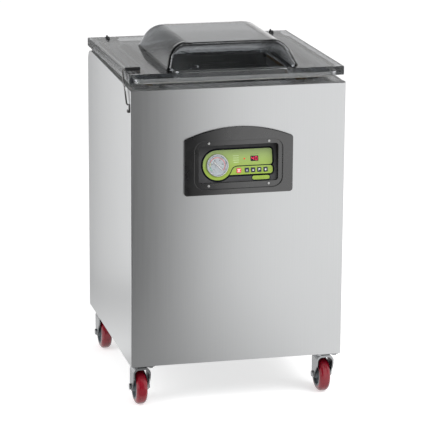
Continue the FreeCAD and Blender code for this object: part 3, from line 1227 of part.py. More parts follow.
def pump_motor():
    """Finned motor on the pump's right end."""
    start = vec(PUMP_X + PUMP_LENGTH / 2, PUMP_Y, PAN_FLOOR + PUMP_FOOT + MOTOR_RADIUS + MOTOR_FIN)
    barrel = rod(start, X_AXIS, MOTOR_RADIUS, MOTOR_LENGTH)
    barrel = round_edges(barrel, MOTOR_FIN * 2, lambda edge: edge.BoundBox.XMin > start.x + MOTOR_LENGTH - 1)
    fins = []
    for index in range(MOTOR_FINS):
        fin = box(start.x + MOTOR_FIN, start.x + MOTOR_LENGTH - 4 * MOTOR_FIN,
                  start.y - MOTOR_FIN / 4, start.y + MOTOR_FIN / 4,
                  start.z + MOTOR_RADIUS - MOTOR_FIN, start.z + MOTOR_RADIUS + MOTOR_FIN)
        fin.rotate(start, X_AXIS, index * 360 / MOTOR_FINS)
        fins.append(fin)
    feet = box(start.x + MOTOR_LENGTH / 4, start.x + MOTOR_LENGTH * 3 / 4,
               start.y - MOTOR_FOOT / 2, start.y + MOTOR_FOOT / 2, PAN_FLOOR, start.z - MOTOR_RADIUS / 2)
    return fuse_all([barrel, feet] + fins)


def vacuum_hose():
    """Bored hose from the suction port back and down to the pump's inlet."""
    start = vec(0, CHAMBER_Y1 + PORT_LENGTH, PORT_Z)
    corner = start + Y_AXIS * HOSE_RUN
    finish = vec(0, corner.y, PAN_FLOOR + PUMP_HEIGHT + INLET_HEIGHT)
    points = [start, corner, finish]
    bend = HOSE_RUN - SHEET
    return bent_rod(points, [bend], HOSE_RADIUS).cut(bent_rod(points, [bend], HOSE_BORE))


def transformer():
    """Laminated frame core with a wound coil that fills its window."""
    x0 = TRANSFORMER_X - TRANSFORMER_WIDTH / 2
    y0 = TRANSFORMER_Y - TRANSFORMER_DEPTH / 2
    leg = TRANSFORMER_LEG
    top = PAN_FLOOR + TRANSFORMER_HEIGHT
    core = box(x0, x0 + TRANSFORMER_WIDTH, y0, y0 + TRANSFORMER_DEPTH, PAN_FLOOR, top)
    window = box(x0 + leg, x0 + TRANSFORMER_WIDTH - leg, y0, y0 + TRANSFORMER_DEPTH,
                 PAN_FLOOR + leg, top - leg)
    coil = rounded_slab(x0 + leg + COIL_GAP, x0 + TRANSFORMER_WIDTH - leg - COIL_GAP,
                        TRANSFORMER_Y - COIL_DEPTH / 2, TRANSFORMER_Y + COIL_DEPTH / 2,
                        PAN_FLOOR + leg, top - leg, leg / 2)
    return fuse_all([core.cut(window), coil])


def valve_block():
    """Manifold on the base pan with two solenoid coils and hose stubs."""
    x0 = VALVE_X - VALVE_WIDTH / 2
    y0 = VALVE_Y - VALVE_DEPTH / 2
    top = PAN_FLOOR + VALVE_HEIGHT
    block = rounded_slab(x0, x0 + VALVE_WIDTH, y0, y0 + VALVE_DEPTH, PAN_FLOOR, top, SHEET * 2)
    coils = [rod(vec(VALVE_X + side * VALVE_WIDTH / 4, VALVE_Y, top), Z_AXIS, VALVE_COIL, VALVE_COIL_HEIGHT)
             for side in (-1, 1)]
    stub = pipe(vec(VALVE_X, y0 + VALVE_DEPTH, PAN_FLOOR + VALVE_HEIGHT / 2), Y_AXIS, VALVE_COIL / 2,
                VALVE_COIL / 3, VALVE_COIL)
    return fuse_all([block, stub] + coils)


def shut_lid_pieces():
    """Everything that turns with the lid, drawn with the lid shut."""
    return {
        "lid": lid(),
        "lid_gasket": lid_gasket(),
        "lid_pressure_strips": lid_pressure_strips(),
        "hinge_leaves": hinge_leaves(),
        "hinge_bolts": hinge_bolts(),
        "hook_sleeve": hook_sleeve(),
        "hook_wire": hook_wire(),
    }


def ajar(solid):
    """Open a shut piece to the angle at which the lid is stored."""
    copy = solid.copy()
    copy.rotate(vec(0, HINGE_Y, HINGE_Z), -X_AXIS, LID_AJAR)
    return copy


def caster_pieces():
    """Fork, core and tyre of each caster, by corner."""
    single = {"caster_fork": caster_fork(), "caster_hub": caster_hub(), "caster_tyre": caster_tyre()}
    pieces = {}
    for corner, (sx, sy) in CORNERS.items():
        for name, solid in single.items():
            pieces["%s_%s" % (name, corner)] = solid.translated(vec(sx * SWIVEL_X, sy * SWIVEL_Y, 0))
    return pieces


def all_pieces():
    """Every piece by name, about the working origin."""
    left_panel = side_panel()
    left_bar = seal_bar()
    left_pins = lift_pins()
    pieces = {
        "base_pan": base_pan(),
        "frame_posts": frame_posts(),
        "front_panel": front_panel(),
        "left_side_panel": left_panel,
        "right_side_panel": mirrored(left_panel),
        "rear_panel": rear_panel(),
        "panel_screws": panel_screws(),
        "cord_gland": cord_gland(),
        "caster_plates": caster_plates(),
        "caster_bolts": caster_bolts(),
        "vacuum_chamber": vacuum_chamber(),
        "vacuum_port": vacuum_port(),
        "filler_plate": filler_plate(),
        "left_seal_bar": left_bar,
        "right_seal_bar": mirrored(left_bar),
        "left_lift_pins": left_pins,
        "right_lift_pins": mirrored(left_pins),
        "lift_cylinders": lift_cylinders(),
        "hinge_brackets": hinge_brackets(),
        "hinge_pins": hinge_pins(),
        "lid_springs": lid_springs(),
        "hook_keeper": hook_keeper(),
        "control_bezel": control_bezel(),
        "control_fascia": control_fascia(),
        "control_overlay": control_overlay(),
        "gauge_case": gauge_case(),
        "gauge_lens": gauge_lens(),
        "gauge_needle": gauge_needle(),
        "status_lamp": status_lamp(),
        "display_window": display_window(),
        "control_board": control_board(),
        "vacuum_pump": vacuum_pump(),
        "pump_motor": pump_motor(),
        "vacuum_hose": vacuum_hose(),
        "transformer": transformer(),
        "valve_block": valve_block(),
    }
    for name, (x, width) in key_places().items():
        pieces[name] = key(x, width)
    for name, solid in shut_lid_pieces().items():
        pieces[name] = ajar(solid)
    pieces.update(caster_pieces())
    return pieces


def box_middle(pieces):
    """Floor point under the middle of the overall box."""
    whole = FreeCAD.BoundBox()
    for solid in pieces.values():
        whole.add(solid.optimalBoundingBox(False, False))
    return vec(whole.Center.x, whole.Center.y, 0)


def main():
    os.makedirs("parts", exist_ok=True)
    pieces = all_pieces()
    middle = box_middle(pieces)
    for name, solid in pieces.items():
        solid.translated(-middle).exportStep("parts/%s.step" % name)
    print("%d pieces, working origin at %.3f %.3f" % (len(pieces), -middle.x, -middle.y))


if __name__ == "__main__":
    main()
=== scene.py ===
"""Looks of a floor-standing chamber vacuum sealer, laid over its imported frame."""
import json
import math

import bpy
from mathutils import Matrix, Quaternion, Vector


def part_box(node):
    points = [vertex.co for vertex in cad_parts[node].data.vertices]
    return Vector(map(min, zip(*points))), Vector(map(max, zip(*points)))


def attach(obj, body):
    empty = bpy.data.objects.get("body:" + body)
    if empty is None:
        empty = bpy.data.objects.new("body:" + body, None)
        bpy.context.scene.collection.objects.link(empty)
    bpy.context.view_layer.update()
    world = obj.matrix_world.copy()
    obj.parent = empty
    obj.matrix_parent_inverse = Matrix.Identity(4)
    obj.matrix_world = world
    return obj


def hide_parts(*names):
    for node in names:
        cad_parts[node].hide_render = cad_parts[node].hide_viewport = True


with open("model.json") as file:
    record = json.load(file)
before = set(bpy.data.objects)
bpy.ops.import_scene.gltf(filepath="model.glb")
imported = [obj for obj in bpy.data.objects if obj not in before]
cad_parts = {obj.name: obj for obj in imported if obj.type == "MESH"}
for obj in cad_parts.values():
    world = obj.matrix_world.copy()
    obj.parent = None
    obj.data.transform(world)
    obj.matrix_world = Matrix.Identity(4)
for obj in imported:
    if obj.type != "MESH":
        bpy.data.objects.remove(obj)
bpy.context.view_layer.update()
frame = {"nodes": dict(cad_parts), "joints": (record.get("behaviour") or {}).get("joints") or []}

bl_info = {
    "name": "Chamber vacuum sealer looks",
    "version": (1, 0, 0),
    "blender": (4, 5, 0),
    "location": "View3D > Sidebar > Sealer",
    "description": "Finishes, printed marks, fasteners and stage of a floor-standing chamber vacuum sealer",
    "category": "Object",
}

NODES = frame["nodes"]
JOINTS = {joint["name"]: joint for joint in frame["joints"]}
CORNERS = ("fl", "fr", "rl", "rr")
KEYS = ("stop_key", "key_1", "key_2", "key_3", "key_4")
MM = 0.001
SHARP_FROM = math.radians(35.0)  # edges that turn by more stay sharp

# Directions
ORIGIN = (0.0, 0.0, 0.0)
LEFT = (-1.0, 0.0, 0.0)
RIGHT = (1.0, 0.0, 0.0)
FRONT = (0.0, -1.0, 0.0)
REAR = (0.0, 1.0, 0.0)
UP = (0.0, 0.0, 1.0)
DOWN = (0.0, 0.0, -1.0)

# Plain colours
WHITE = (1.0, 1.0, 1.0)
BLACK = (0.0, 0.0, 0.0)

# Ranges that most of a noise's values lie in
NOISE_CORE = (0.3, 0.7)
NOISE_BROAD = (0.25, 0.75)

# Stage, its places and sizes in metres
LAMP_AIM = (0.0, 0.0, 0.5)
KEY_LAMP = {"place": (1.9, -2.6, 3.2), "size": 2.2}
FILL_LAMP = {"place": (-2.8, -1.2, 2.2), "size": 1.8}
SENSOR_MM = 36.0
VIEW_END = 60.0
FOOT_REACH = (0.4, 2.4)          # where the mirrored floor starts and ends to brighten
SKY_DIM_BY = 0.355               # height of a ray at which the mirrored sky is dimmest
FLOOR_GLOW = 0.50                # light that the camera sees the floor give

# Cards: name, place, tilt, turn, size, then dark and bright ends as distance from the middle and brightness
CARDS = (
    ("front_card", (-0.20, -1.15, 1.15), 90.0, 0.0, (1.6, 2.3), (0.10, 0.0), (0.38, 0.9)),
    ("floor_card", (-0.20, -0.74, 0.004), 0.0, 0.0, (1.6, 0.82), (0.04, 0.26), (0.60, 0.86)),
    ("rear_card", (-0.55, 0.90, 0.70), 90.0, 0.0, (0.70, 1.4), (0.11, 0.25), (-0.05, 1.02)),
    ("rear_floor_card", (-0.58, 0.52, 0.004), 0.0, 90.0, (0.74, 0.50), (0.33, 0.45), (-0.27, 0.92)),
    ("right_card", (1.50, 0.0, 0.80), 90.0, 90.0, (3.0, 1.6), (0.30, 0.40), (-0.90, 0.95)),
)

# Outlines of turned pieces, as pairs of radius and height in millimetres
POINTER_CAP = ((0.0, 1.3), (1.6, 1.2), (2.9, 0.7), (3.1, 0.0), (0.0, 0.0))
BEARING_SHIELD = ((5.9, 0.0), (11.6, 0.0), (11.6, 0.5), (10.8, 1.0), (6.5, 1.0), (5.9, 0.6), (5.9, 0.0))
TERMINAL_SCREW = ((0.0, 2.6), (2.4, 2.4), (3.4, 1.5), (3.4, 0.0), (4.6, 0.0), (4.6, -0.9), (0.0, -0.9))
PORT_RING = ((8.4, 0.0), (9.7, 0.0), (9.7, 2.0), (9.2, 2.4), (8.4, 2.0), (8.4, 0.0))
OIL_CAP = ((0, 20), (10, 20), (15, 18), (16, 15), (16, 6), (11, 5), (11, 0), (0, 0))
OIL_RING = ((13, 0), (19, 0), (19, 4), (17, 6), (13, 6), (12, 5), (12, 0.6), (13, 0))
OIL_LENS = ((0.0, 4.2), (6.0, 3.9), (11.8, 2.6), (11.8, 0.2), (0.0, 0.2))
CLAMP_SCREW = ((0.0, 4.0), (2.6, 4.0), (3.2, 3.2), (3.2, 0.0), (0.0, 0.0))
TERMINAL_STUD = ((0.0, 5.0), (2.2, 4.8), (3.6, 3.4), (3.6, 1.2), (5.4, 1.2), (5.4, 0.0), (0.0, 0.0))
CAPACITOR = (
    (0.0, 14.0), (4.2, 14.0), (5.0, 13.2), (5.0, 2.2), (4.5, 1.6), (5.0, 1.0), (5.0, 0.0), (0.0, 0.0),
)

# Gauge: angles in degrees, and radii as shares of the glass's radius
DIAL_START = 225.0
DIAL_SWEEP = 270.0
NEEDLE_REST = -45.0
ARC_OUTER = 0.80
ARC_INNER = 0.70
NUMBER_RING = 0.54
TICKS_A_STEP = 4
NUMBER_STEP = 20
DIAL_ARCS = (
    ("dial_green_arc", 190.0, 35.0, (0.24, 0.58, 0.42)),
    ("dial_yellow_arc", 160.0, 28.0, (0.82, 0.78, 0.30)),
    ("dial_red_arc", -42.0, 200.0, (0.80, 0.34, 0.35)),
)

# Segments of a digit: shares of its width and height from its middle, and 1 where the bar stands upright
SEGMENTS = {
    "a": (0.0, 0.5, 0), "g": (0.0, 0.0, 0), "d": (0.0, -0.5, 0), "f": (-0.5, 0.25, 1),
    "b": (0.5, 0.25, 1), "e": (-0.5, -0.25, 1), "c": (0.5, -0.25, 1),
}
# Digits of the display: shift in widths from the window's middle, and the segments that are lit
DIGITS = ((-0.899, "bcfg"), (0.899, "abcdef"))
DIGIT_SHAPE = 0.58               # width as a share of the height

# Symbol on each key, as bars with the place of their middle, width and height in millimetres
KEY_SYMBOLS = {
    "stop_key": ((0, 2.6, 8.0, 1.5), (0, 0, 4.6, 2.0), (0, -3.0, 8.0, 1.3)),
    "key_1": ((0, 0.4, 5.4, 1.3), (0, -2.2, 5.4, 0.8)),
    "key_2": ((0, -1.5, 4.8, 1.3), (0, 0, 3.2, 1.5), (0, 1.4, 1.5, 1.5)),
    "key_3": ((-1.8, 0, 1.1, 6.0), (0.7, 1.5, 4.2, 3.0)),
    "key_4": ((-0.2, -0.6, 3.8, 5.0), (0.9, -0.2, 2.4, 5.8)),
}
# Pale bars beside the lamp: row from the lamp's middle, and width in millimetres
FIELD_BARS = ((1.5, 17.0), (0.5, 15.5), (-0.5, 17.0), (-1.5, 14.5))

# Blocks on the back of the circuit board: place of a corner, width, height and depth in millimetres
BOARD_BLOCKS = (
    (10, 12, 18, 14, 13), (34, 12, 18, 14, 13), (58, 12, 18, 14, 13),
    (10, 60, 26, 8, 9), (44, 60, 26, 8, 9),
)


def mm(*lengths):
    """Vector from lengths in millimetres."""
    return Vector(lengths) * MM


def fascia_place():
    """Frame of the sloping fascia at the gauge's arbor on its dial: X across, Y up the slope, Z out."""
    out = Vector(JOINTS["needle_turn"]["axis"]).normalized()
    across = Vector(RIGHT)
    turn = Matrix((across, out.cross(across), out)).transposed().to_4x4()
    return Matrix.Translation(JOINTS["needle_turn"]["pos_m"]) @ turn


FASCIA = fascia_place()


class SealerStage(bpy.types.PropertyGroup):
    """Camera, lamps and floor."""

    camera_place: bpy.props.FloatVectorProperty(
        name="Camera place", description="Where the camera stands", size=3, subtype="TRANSLATION",
        unit="LENGTH", default=(-1.56418, -6.56026, 2.26422))
    camera_yaw: bpy.props.FloatProperty(
        name="Camera yaw", description="Turn of the view to the right of straight back", subtype="ANGLE",
        default=math.radians(13.548))
    camera_pitch: bpy.props.FloatProperty(
        name="Camera pitch", description="Downward tilt of the view", subtype="ANGLE",
        default=math.radians(14.893))
    camera_roll: bpy.props.FloatProperty(
        name="Camera roll", description="Turn of the picture about the view", subtype="ANGLE",
        default=math.radians(0.350))
    lens: bpy.props.FloatProperty(
        name="Lens", description="Focal length in millimetres", default=200.0, min=10.0)
    floor_radius: bpy.props.FloatProperty(
        name="Floor radius", description="Size of the pale floor", default=16.0, unit="LENGTH")
    sky_strength: bpy.props.FloatProperty(
        name="Sky strength", description="Soft light from all round", default=0.62, min=0.0)
    mirrored_sky: bpy.props.FloatProperty(
        name="Mirrored sky", description="Brightness overhead as the steel and the lid mirror it",
        default=0.06, min=0.0)
    mirrored_floor: bpy.props.FloatProperty(
        name="Mirrored floor", description="Brightness of the far floor as the steel mirrors it",
        default=0.95, min=0.0)
    mirrored_foot: bpy.props.FloatProperty(
        name="Mirrored foot", description="Brightness of the floor at the casters as the steel mirrors it",
        default=0.62, min=0.0)
    key_power: bpy.props.FloatProperty(
        name="Key lamp", description="Power of the large lamp at the front right", default=95.0, unit="POWER")
    fill_power: bpy.props.FloatProperty(
        name="Fill lamp", description="Power of the lamp at the left", default=45.0, unit="POWER")


class SealerFinish(bpy.types.PropertyGroup):
    """Colours of the pieces."""

    steel: bpy.props.FloatVectorProperty(
        name="Panel steel", description="Brushed sheet of the cabinet", subtype="COLOR", size=3,
        default=(0.77, 0.78, 0.785))
    acrylic: bpy.props.FloatVectorProperty(
        name="Lid acrylic", description="Tint of the clear lid", subtype="COLOR", size=3,
        default=(0.52, 0.53, 0.54))
    smoke: bpy.props.FloatProperty(
        name="Lid smoke", description="How fast the lid darkens with depth, per metre", default=4.0, min=0.0)
    bezel: bpy.props.FloatVectorProperty(
        name="Bezel", description="Moulded frame of the control unit", subtype="COLOR", size=3,
        default=(0.005, 0.005, 0.0055))
    fascia: bpy.props.FloatVectorProperty(
        name="Fascia", description="Sloping plate that carries the overlay", subtype="COLOR", size=3,
        default=(0.050, 0.050, 0.052))
    green: bpy.props.FloatVectorProperty(
        name="Overlay green", description="Printed fields of the overlay", subtype="COLOR", size=3,
        default=(0.32, 0.44, 0.075))
    border: bpy.props.FloatVectorProperty(
        name="Overlay border", description="Dark backing of the overlay", subtype="COLOR", size=3,
        default=(0.006, 0.008, 0.018))
    stop: bpy.props.FloatVectorProperty(
        name="Stop key", description="Red key", subtype="COLOR", size=3, default=(0.78, 0.10, 0.13))
    keys: bpy.props.FloatVectorProperty(
        name="Keys", description="Dark keys", subtype="COLOR", size=3, default=(0.018, 0.020, 0.050))
    tyre: bpy.props.FloatVectorProperty(
        name="Tyres", description="Red polyurethane", subtype="COLOR", size=3, default=(0.24, 0.003, 0.014))
    hub: bpy.props.FloatVectorProperty(
        name="Wheel cores", description="Grey wheel cores", subtype="COLOR", size=3,
        default=(0.13, 0.15, 0.165))
    silicone: bpy.props.FloatVectorProperty(
        name="Silicone", description="Gasket and pressure strips", subtype="COLOR", size=3,
        default=(0.66, 0.655, 0.63))


class SealerDetail(bpy.types.PropertyGroup):
    """Sizes of the printed marks and small fittings."""

    print_thick: bpy.props.FloatProperty(
        name="Print thickness", description="Height of printed marks", default=0.12 * MM, unit="LENGTH")
    tick_length: bpy.props.FloatProperty(
        name="Long tick", description="Length of the dial's long ticks", default=3.2 * MM, unit="LENGTH")
    dial_steps: bpy.props.IntProperty(
        name="Dial steps", description="Long ticks round the dial", default=6, min=2)
    number_size: bpy.props.FloatProperty(
        name="Dial numbers", description="Type size of the dial's numbers", default=4.4 * MM, unit="LENGTH")
    pointer_width: bpy.props.FloatProperty(
        name="Pointer width", description="Width of the white pointer's tail", default=5.4 * MM,
        unit="LENGTH")
    digit_height: bpy.props.FloatProperty(
        name="Digit height", description="Height of the display's digits", default=9.4 * MM, unit="LENGTH")
    segment_width: bpy.props.FloatProperty(
        name="Segment width", description="Width of a digit's bars", default=1.35 * MM, unit="LENGTH")
    edging_width: bpy.props.FloatProperty(
        name="Overlay edging", description="Width of the black edging round the overlay", default=4.6 * MM,
        unit="LENGTH")
    bezel_crown: bpy.props.FloatProperty(
        name="Bezel crown", description="Side to side curve of the bezel's face, per metre", default=0.9,
        min=0.0)
    rim_width: bpy.props.FloatProperty(
        name="Lid rim", description="Width of the lid's pale sawn rim", default=4.0 * MM, unit="LENGTH")
    recess_width: bpy.props.FloatProperty(
        name="Cross recess", description="Width of the slots in a screw head", default=0.9 * MM,
        unit="LENGTH")


def rgba(colour):
    return (*tuple(colour)[:3], 1.0)


def shaded(colour, factor):
    """A colour made lighter or darker."""
    return tuple(min(1.0, channel * factor) for channel in tuple(colour)[:3])


def connect(tree, value, socket):
    """Link an output to a socket, or set a number or a colour on it."""
    if isinstance(value, bpy.types.NodeSocket):
        tree.links.new(value, socket)
    elif hasattr(value, "__len__"):
        socket.default_value = rgba(value)
    else:
        socket.default_value = value


def range_node(tree, value, low, high, to_low, to_high):
    """Node that stretches a range of an output's values onto another range."""
    node = tree.nodes.new("ShaderNodeMapRange")
    for name, number in (("From Min", low), ("From Max", high), ("To Min", to_low), ("To Max", to_high)):
        node.inputs[name].default_value = number
    tree.links.new(value, node.inputs["Value"])
    return node


def math_of(tree, operation, value, other):
    """Result of an operation on an output and a number or another output."""
    node = tree.nodes.new("ShaderNodeMath")
    node.operation = operation
    connect(tree, value, node.inputs[0])
    connect(tree, other, node.inputs[1])
    return node.outputs[0]


def either(tree, path, kinds):
    """1 for any of these kinds of ray."""
    value = path.outputs[kinds[0]]
    for kind in kinds[1:]:
        value = math_of(tree, "MAXIMUM", value, path.outputs[kind])
    return value


class Finish:
    """A procedural material: one Principled shader with patterns laid in Object coordinates."""

    def __init__(self, name, **sockets):
        self.material = bpy.data.materials.new(name)
        self.material.use_nodes = True
        self.tree = self.material.node_tree
        self.nodes = self.tree.nodes
        self.links = self.tree.links
        self.shader = self.nodes["Principled BSDF"]
        self.coords = self.nodes.new("ShaderNodeTexCoord").outputs["Object"]
        for socket, value in sockets.items():
            self.put(socket.replace("_", " "), value)

    def put(self, socket, value):
        """Give one of the shader's sockets a number, a colour or an output."""
        connect(self.tree, value, self.shader.inputs[socket])

    def noise(self, scale, stretch=(1.0, 1.0, 1.0), detail=3.0, rough=0.5):
        """Cloudy pattern, from 0 to 1."""
        mapping = self.nodes.new("ShaderNodeMapping")
        mapping.inputs["Scale"].default_value = stretch
        self.links.new(self.coords, mapping.inputs["Vector"])
        texture = self.nodes.new("ShaderNodeTexNoise")
        texture.inputs["Scale"].default_value = scale
        texture.inputs["Detail"].default_value = detail
        texture.inputs["Roughness"].default_value = rough
        self.links.new(mapping.outputs["Vector"], texture.inputs["Vector"])
        return texture.outputs["Fac"]

    def cells(self, scale):
        """Pebbled pattern, as of a moulded grain."""
        texture = self.nodes.new("ShaderNodeTexVoronoi")
        texture.inputs["Scale"].default_value = scale
        self.links.new(self.coords, texture.inputs["Vector"])
        return texture.outputs["Distance"]

    def dot(self, value, other):
        """Dot product of an output and another output or a direction."""
        node = self.nodes.new("ShaderNodeVectorMath")
        node.operation = "DOT_PRODUCT"
        self.links.new(value, node.inputs[0])
        if isinstance(other, bpy.types.NodeSocket):
            self.links.new(other, node.inputs[1])
        else:
            node.inputs[1].default_value = other
        return node.outputs["Value"]

    def along(self, direction, low, high):
        """Ramp from 0 to 1 between two distances along a direction."""
        return self.spread(self.dot(self.coords, direction), low, high, 0.0, 1.0)

    def spread(self, value, low, high, to_low, to_high):
        """Stretch a range of values onto another."""
        return range_node(self.tree, value, low, high, to_low, to_high).outputs["Result"]

    def edge(self, radius):
        """1 on edges and corners, 0 on faces."""
        face, corner = 0.995, 0.80
        bevel = self.nodes.new("ShaderNodeBevel")
        bevel.samples = 4
        bevel.inputs["Radius"].default_value = radius
        geometry = self.nodes.new("ShaderNodeNewGeometry")
        turn = self.dot(bevel.outputs["Normal"], geometry.outputs["Normal"])
        return self.spread(turn, face, corner, 0.0, 1.0)

    def product(self, value, other):
        return math_of(self.tree, "MULTIPLY", value, other)

    def total(self, value, *others):
        for other in others:
            value = math_of(self.tree, "ADD", value, other)
        return value

    def blend(self, factor, low, high):
        """Colour between two colours or colour outputs."""
        mix = self.nodes.new("ShaderNodeMix")
        mix.data_type = "RGBA"
        first, second, result = mix.inputs[6], mix.inputs[7], mix.outputs[2]
        self.links.new(factor, mix.inputs["Factor"])
        connect(self.tree, low, first)
        connect(self.tree, high, second)
        return result

    def mottled(self, pattern, colour, dark, light):
        """Colour that a pattern shades between two factors."""
        return self.blend(pattern, shaded(colour, dark), shaded(colour, light))

    def flecked(self, pattern, colour, fleck, share):
        """Colour with up to a share of another where a pattern is high."""
        return self.blend(self.spread(pattern, *NOISE_CORE, 0.0, share), colour, fleck)

    def hollow_shade(self, colour, reach, share):
        """Colour with painted shade deep in corners and gaps."""
        closed, open_air = 0.15, 0.75
        painted_shade = (0.01, 0.01, 0.012)
        # Painted shade: an ambient occlusion node darkens the colour towards near black where other surfaces
        # are close.
        cavity = self.nodes.new("ShaderNodeAmbientOcclusion")
        cavity.samples = 8
        cavity.inputs["Distance"].default_value = reach
        return self.blend(self.spread(cavity.outputs["AO"], closed, open_air, share, 0.0), colour, painted_shade)

    def edge_wear_and_highlight(self, colour, share):
        """Colour lightened on the edges, partly as wear and partly as a painted highlight."""
        wear_and_highlight = (0.8, 0.8, 0.8)
        edge_width = 0.8 * MM
        return self.blend(self.spread(self.edge(edge_width), 0.0, 1.0, 0.0, share), colour, wear_and_highlight)

    def paint(self, colour):
        self.put("Base Color", colour)

    def gloss(self, pattern, low, high):
        """Roughness that a pattern varies between two values."""
        self.put("Roughness", self.spread(pattern, *NOISE_BROAD, low, high))

    def relief(self, value, depth, strength=1.0):
        """Fine relief, its depth in metres."""
        bump = self.nodes.new("ShaderNodeBump")
        bump.inputs["Distance"].default_value = depth
        bump.inputs["Strength"].default_value = strength
        self.links.new(value, bump.inputs["Height"])
        self.put("Normal", bump.outputs["Normal"])


def brushed_steel(name, colour, grain, low=0.28, high=0.40):
    """Satin sheet with a straight grain; grain holds the coordinate scale of the brush marks."""
    made = Finish(name, Metallic=1.0)
    marks = made.noise(1.0, stretch=grain, detail=4.0, rough=0.6)
    cloud = made.noise(3.0, detail=2.0)
    tone = made.flecked(marks, shaded(colour, 0.97), shaded(colour, 1.02), 1.0)
    made.paint(made.flecked(cloud, tone, shaded(colour, 0.93), 0.35))
    made.gloss(marks, low, high)
    made.relief(marks, 0.012 * MM, 0.25)
    return made.material


def plated_steel(name, colour, low=0.16, high=0.32, corner_shade=0.6):
    """Zinc plate with cloudy crystals, and painted shade in its corners."""
    made = Finish(name, Metallic=1.0)
    cloud = made.noise(60.0, detail=4.0)
    made.paint(made.hollow_shade(made.mottled(cloud, colour, 0.86, 1.06), 30 * MM, corner_shade))
    made.gloss(cloud, low, high)
    made.relief(made.noise(900.0), 0.02 * MM, 0.2)
    return made.material


def cast_metal(name, colour):
    """Sand-cast alloy, rough and pitted."""
    made = Finish(name, Metallic=1.0)
    grains = made.noise(700.0)
    made.paint(made.mottled(made.noise(25.0), colour, 0.75, 1.1))
    made.gloss(grains, 0.5, 0.72)
    made.relief(grains, 0.25 * MM, 0.5)
    return made.material


def painted(name, colour, low=0.32, high=0.46, peel=0.03 * MM):
    """Sprayed paint with a slight orange peel, and edges lightened by wear and a painted highlight."""
    made = Finish(name)
    cloud = made.noise(40.0)
    made.paint(made.edge_wear_and_highlight(made.mottled(cloud, colour, 0.85, 1.25), 0.12))
    made.gloss(cloud, low, high)
    made.relief(made.noise(650.0), peel, 0.4)
    return made.material


def moulded(name, colour, low=0.36, high=0.5, grain=0.04 * MM, scale=1500.0, wear_and_highlight=0.10):
    """Moulded plastic with a fine pebble grain, edges lightened by wear and a painted highlight, and painted
    shade in its corners.
    """
    made = Finish(name)
    cloud = made.noise(30.0)
    made.paint(made.hollow_shade(made.edge_wear_and_highlight(made.mottled(cloud, colour, 0.88, 1.15), wear_and_highlight), 5 * MM, 0.8))
    made.gloss(cloud, low, high)
    made.relief(made.cells(scale), grain, 0.35)
    return made.material


def rubber(name, colour):
    """Soft rubber with a faint bloom."""
    made = Finish(name)
    bloom = made.noise(45.0, detail=4.0)
    made.paint(made.mottled(bloom, colour, 0.9, 1.12))
    made.gloss(bloom, 0.45, 0.6)
    made.relief(made.noise(800.0), 0.03 * MM, 0.3)
    return made.material


def wear_finish(material, *names):
    """Give CAD nodes a finish."""
    for name in names:
        for slot in NODES[name].material_slots:
            slot.material = material


def select_only(*objects):
    """Leave only these objects selected, the first one active."""
    if bpy.context.object and bpy.context.object.mode != "OBJECT":
        bpy.ops.object.mode_set(mode="OBJECT")
    bpy.ops.object.select_all(action="DESELECT")
    for obj in objects:
        obj.select_set(True)
    bpy.context.view_layer.objects.active = objects[0]


def newly_made(name):
    """Name the active object and its data."""
    obj = bpy.context.object
    obj.name = name
    obj.data.name = name
    return obj


def started(name, add, **settings):
    """New object from one of Blender's add operators, with nothing else selected."""
    bpy.ops.object.select_all(action="DESELECT")
    add(**settings)
    return newly_made(name)


def square(name):
    """Unit square about the origin, to be shaped."""
    return started(name, bpy.ops.mesh.primitive_plane_add, size=1.0)


def disc(name, radius):
    """Flat disc about the origin, to be shaped."""
    return started(name, bpy.ops.mesh.primitive_circle_add, vertices=96, radius=radius, fill_type="NGON")


def settle(obj, place):
    """Carry a piece drawn about the origin to its place, and leave that place in its mesh."""
    select_only(obj)
    obj.matrix_world = place
    bpy.ops.object.transform_apply(location=True, rotation=True, scale=True)


def joined(name, objects):
    """One object from several."""
    select_only(*objects)
    if len(objects) > 1:
        bpy.ops.object.join()
    return newly_made(name)


def fitted(obj, body, material):
    """Finish a new piece: its material and the body it rides on."""
    obj.data.materials.clear()
    obj.data.materials.append(material)
    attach(obj, body)
    return obj


def fitted_on_fascia(name, pieces, body, material):
    """Join pieces drawn in the fascia's frame, carry them to it and finish them as one."""
    piece = joined(name, pieces)
    settle(piece, FASCIA)
    return fitted(piece, body, material)


def pick_all():
    bpy.ops.mesh.select_all(action="SELECT")


def edit(obj, kind="FACE"):
    """Go into edit mode with everything selected, in faces, edges or vertices."""
    select_only(obj)
    bpy.ops.object.mode_set(mode="EDIT")
    bpy.ops.mesh.select_mode(type=kind)
    pick_all()


def done():
    bpy.ops.object.mode_set(mode="OBJECT")


def pick_faces(obj, chosen):
    """Select the faces whose middle and normal pass the test, and return to edit mode."""
    bpy.ops.mesh.select_all(action="DESELECT")
    done()
    for face in obj.data.polygons:
        face.select = chosen(face.center, face.normal)
    bpy.ops.object.mode_set(mode="EDIT")


def pick_edges(obj, chosen):
    """Select the edges whose two ends pass the test, and return to edit mode."""
    bpy.ops.mesh.select_mode(type="EDGE")
    bpy.ops.mesh.select_all(action="DESELECT")
    done()
    points = obj.data.vertices
    for line in obj.data.edges:
        line.select = all(chosen(points[end].co) for end in line.vertices)
    bpy.ops.object.mode_set(mode="EDIT")


def extrude(way):
    bpy.ops.mesh.extrude_region_move(TRANSFORM_OT_translate={"value": way})


def raise_faces(height):
    """Extrude the flat faces that are selected, turn all faces outwards and leave edit mode."""
    extrude((0.0, 0.0, height))
    pick_all()
    bpy.ops.mesh.normals_make_consistent(inside=False)
    done()


def spin(steps, angle):
    bpy.ops.mesh.spin(steps=steps, angle=angle, center=ORIGIN, axis=UP)
    pick_all()


def modified(obj, kind, **settings):
    """Put a modifier on a piece and apply it."""
    select_only(obj)
    modifier = obj.modifiers.new(kind, kind)
    for name, value in settings.items():
        setattr(modifier, name, value)
    bpy.ops.object.modifier_apply(modifier=kind)


def smoothed(obj):
    """Round shading that keeps the sharp edges."""
    select_only(obj)
    bpy.ops.object.shade_smooth_by_angle(angle=SHARP_FROM)
    return obj


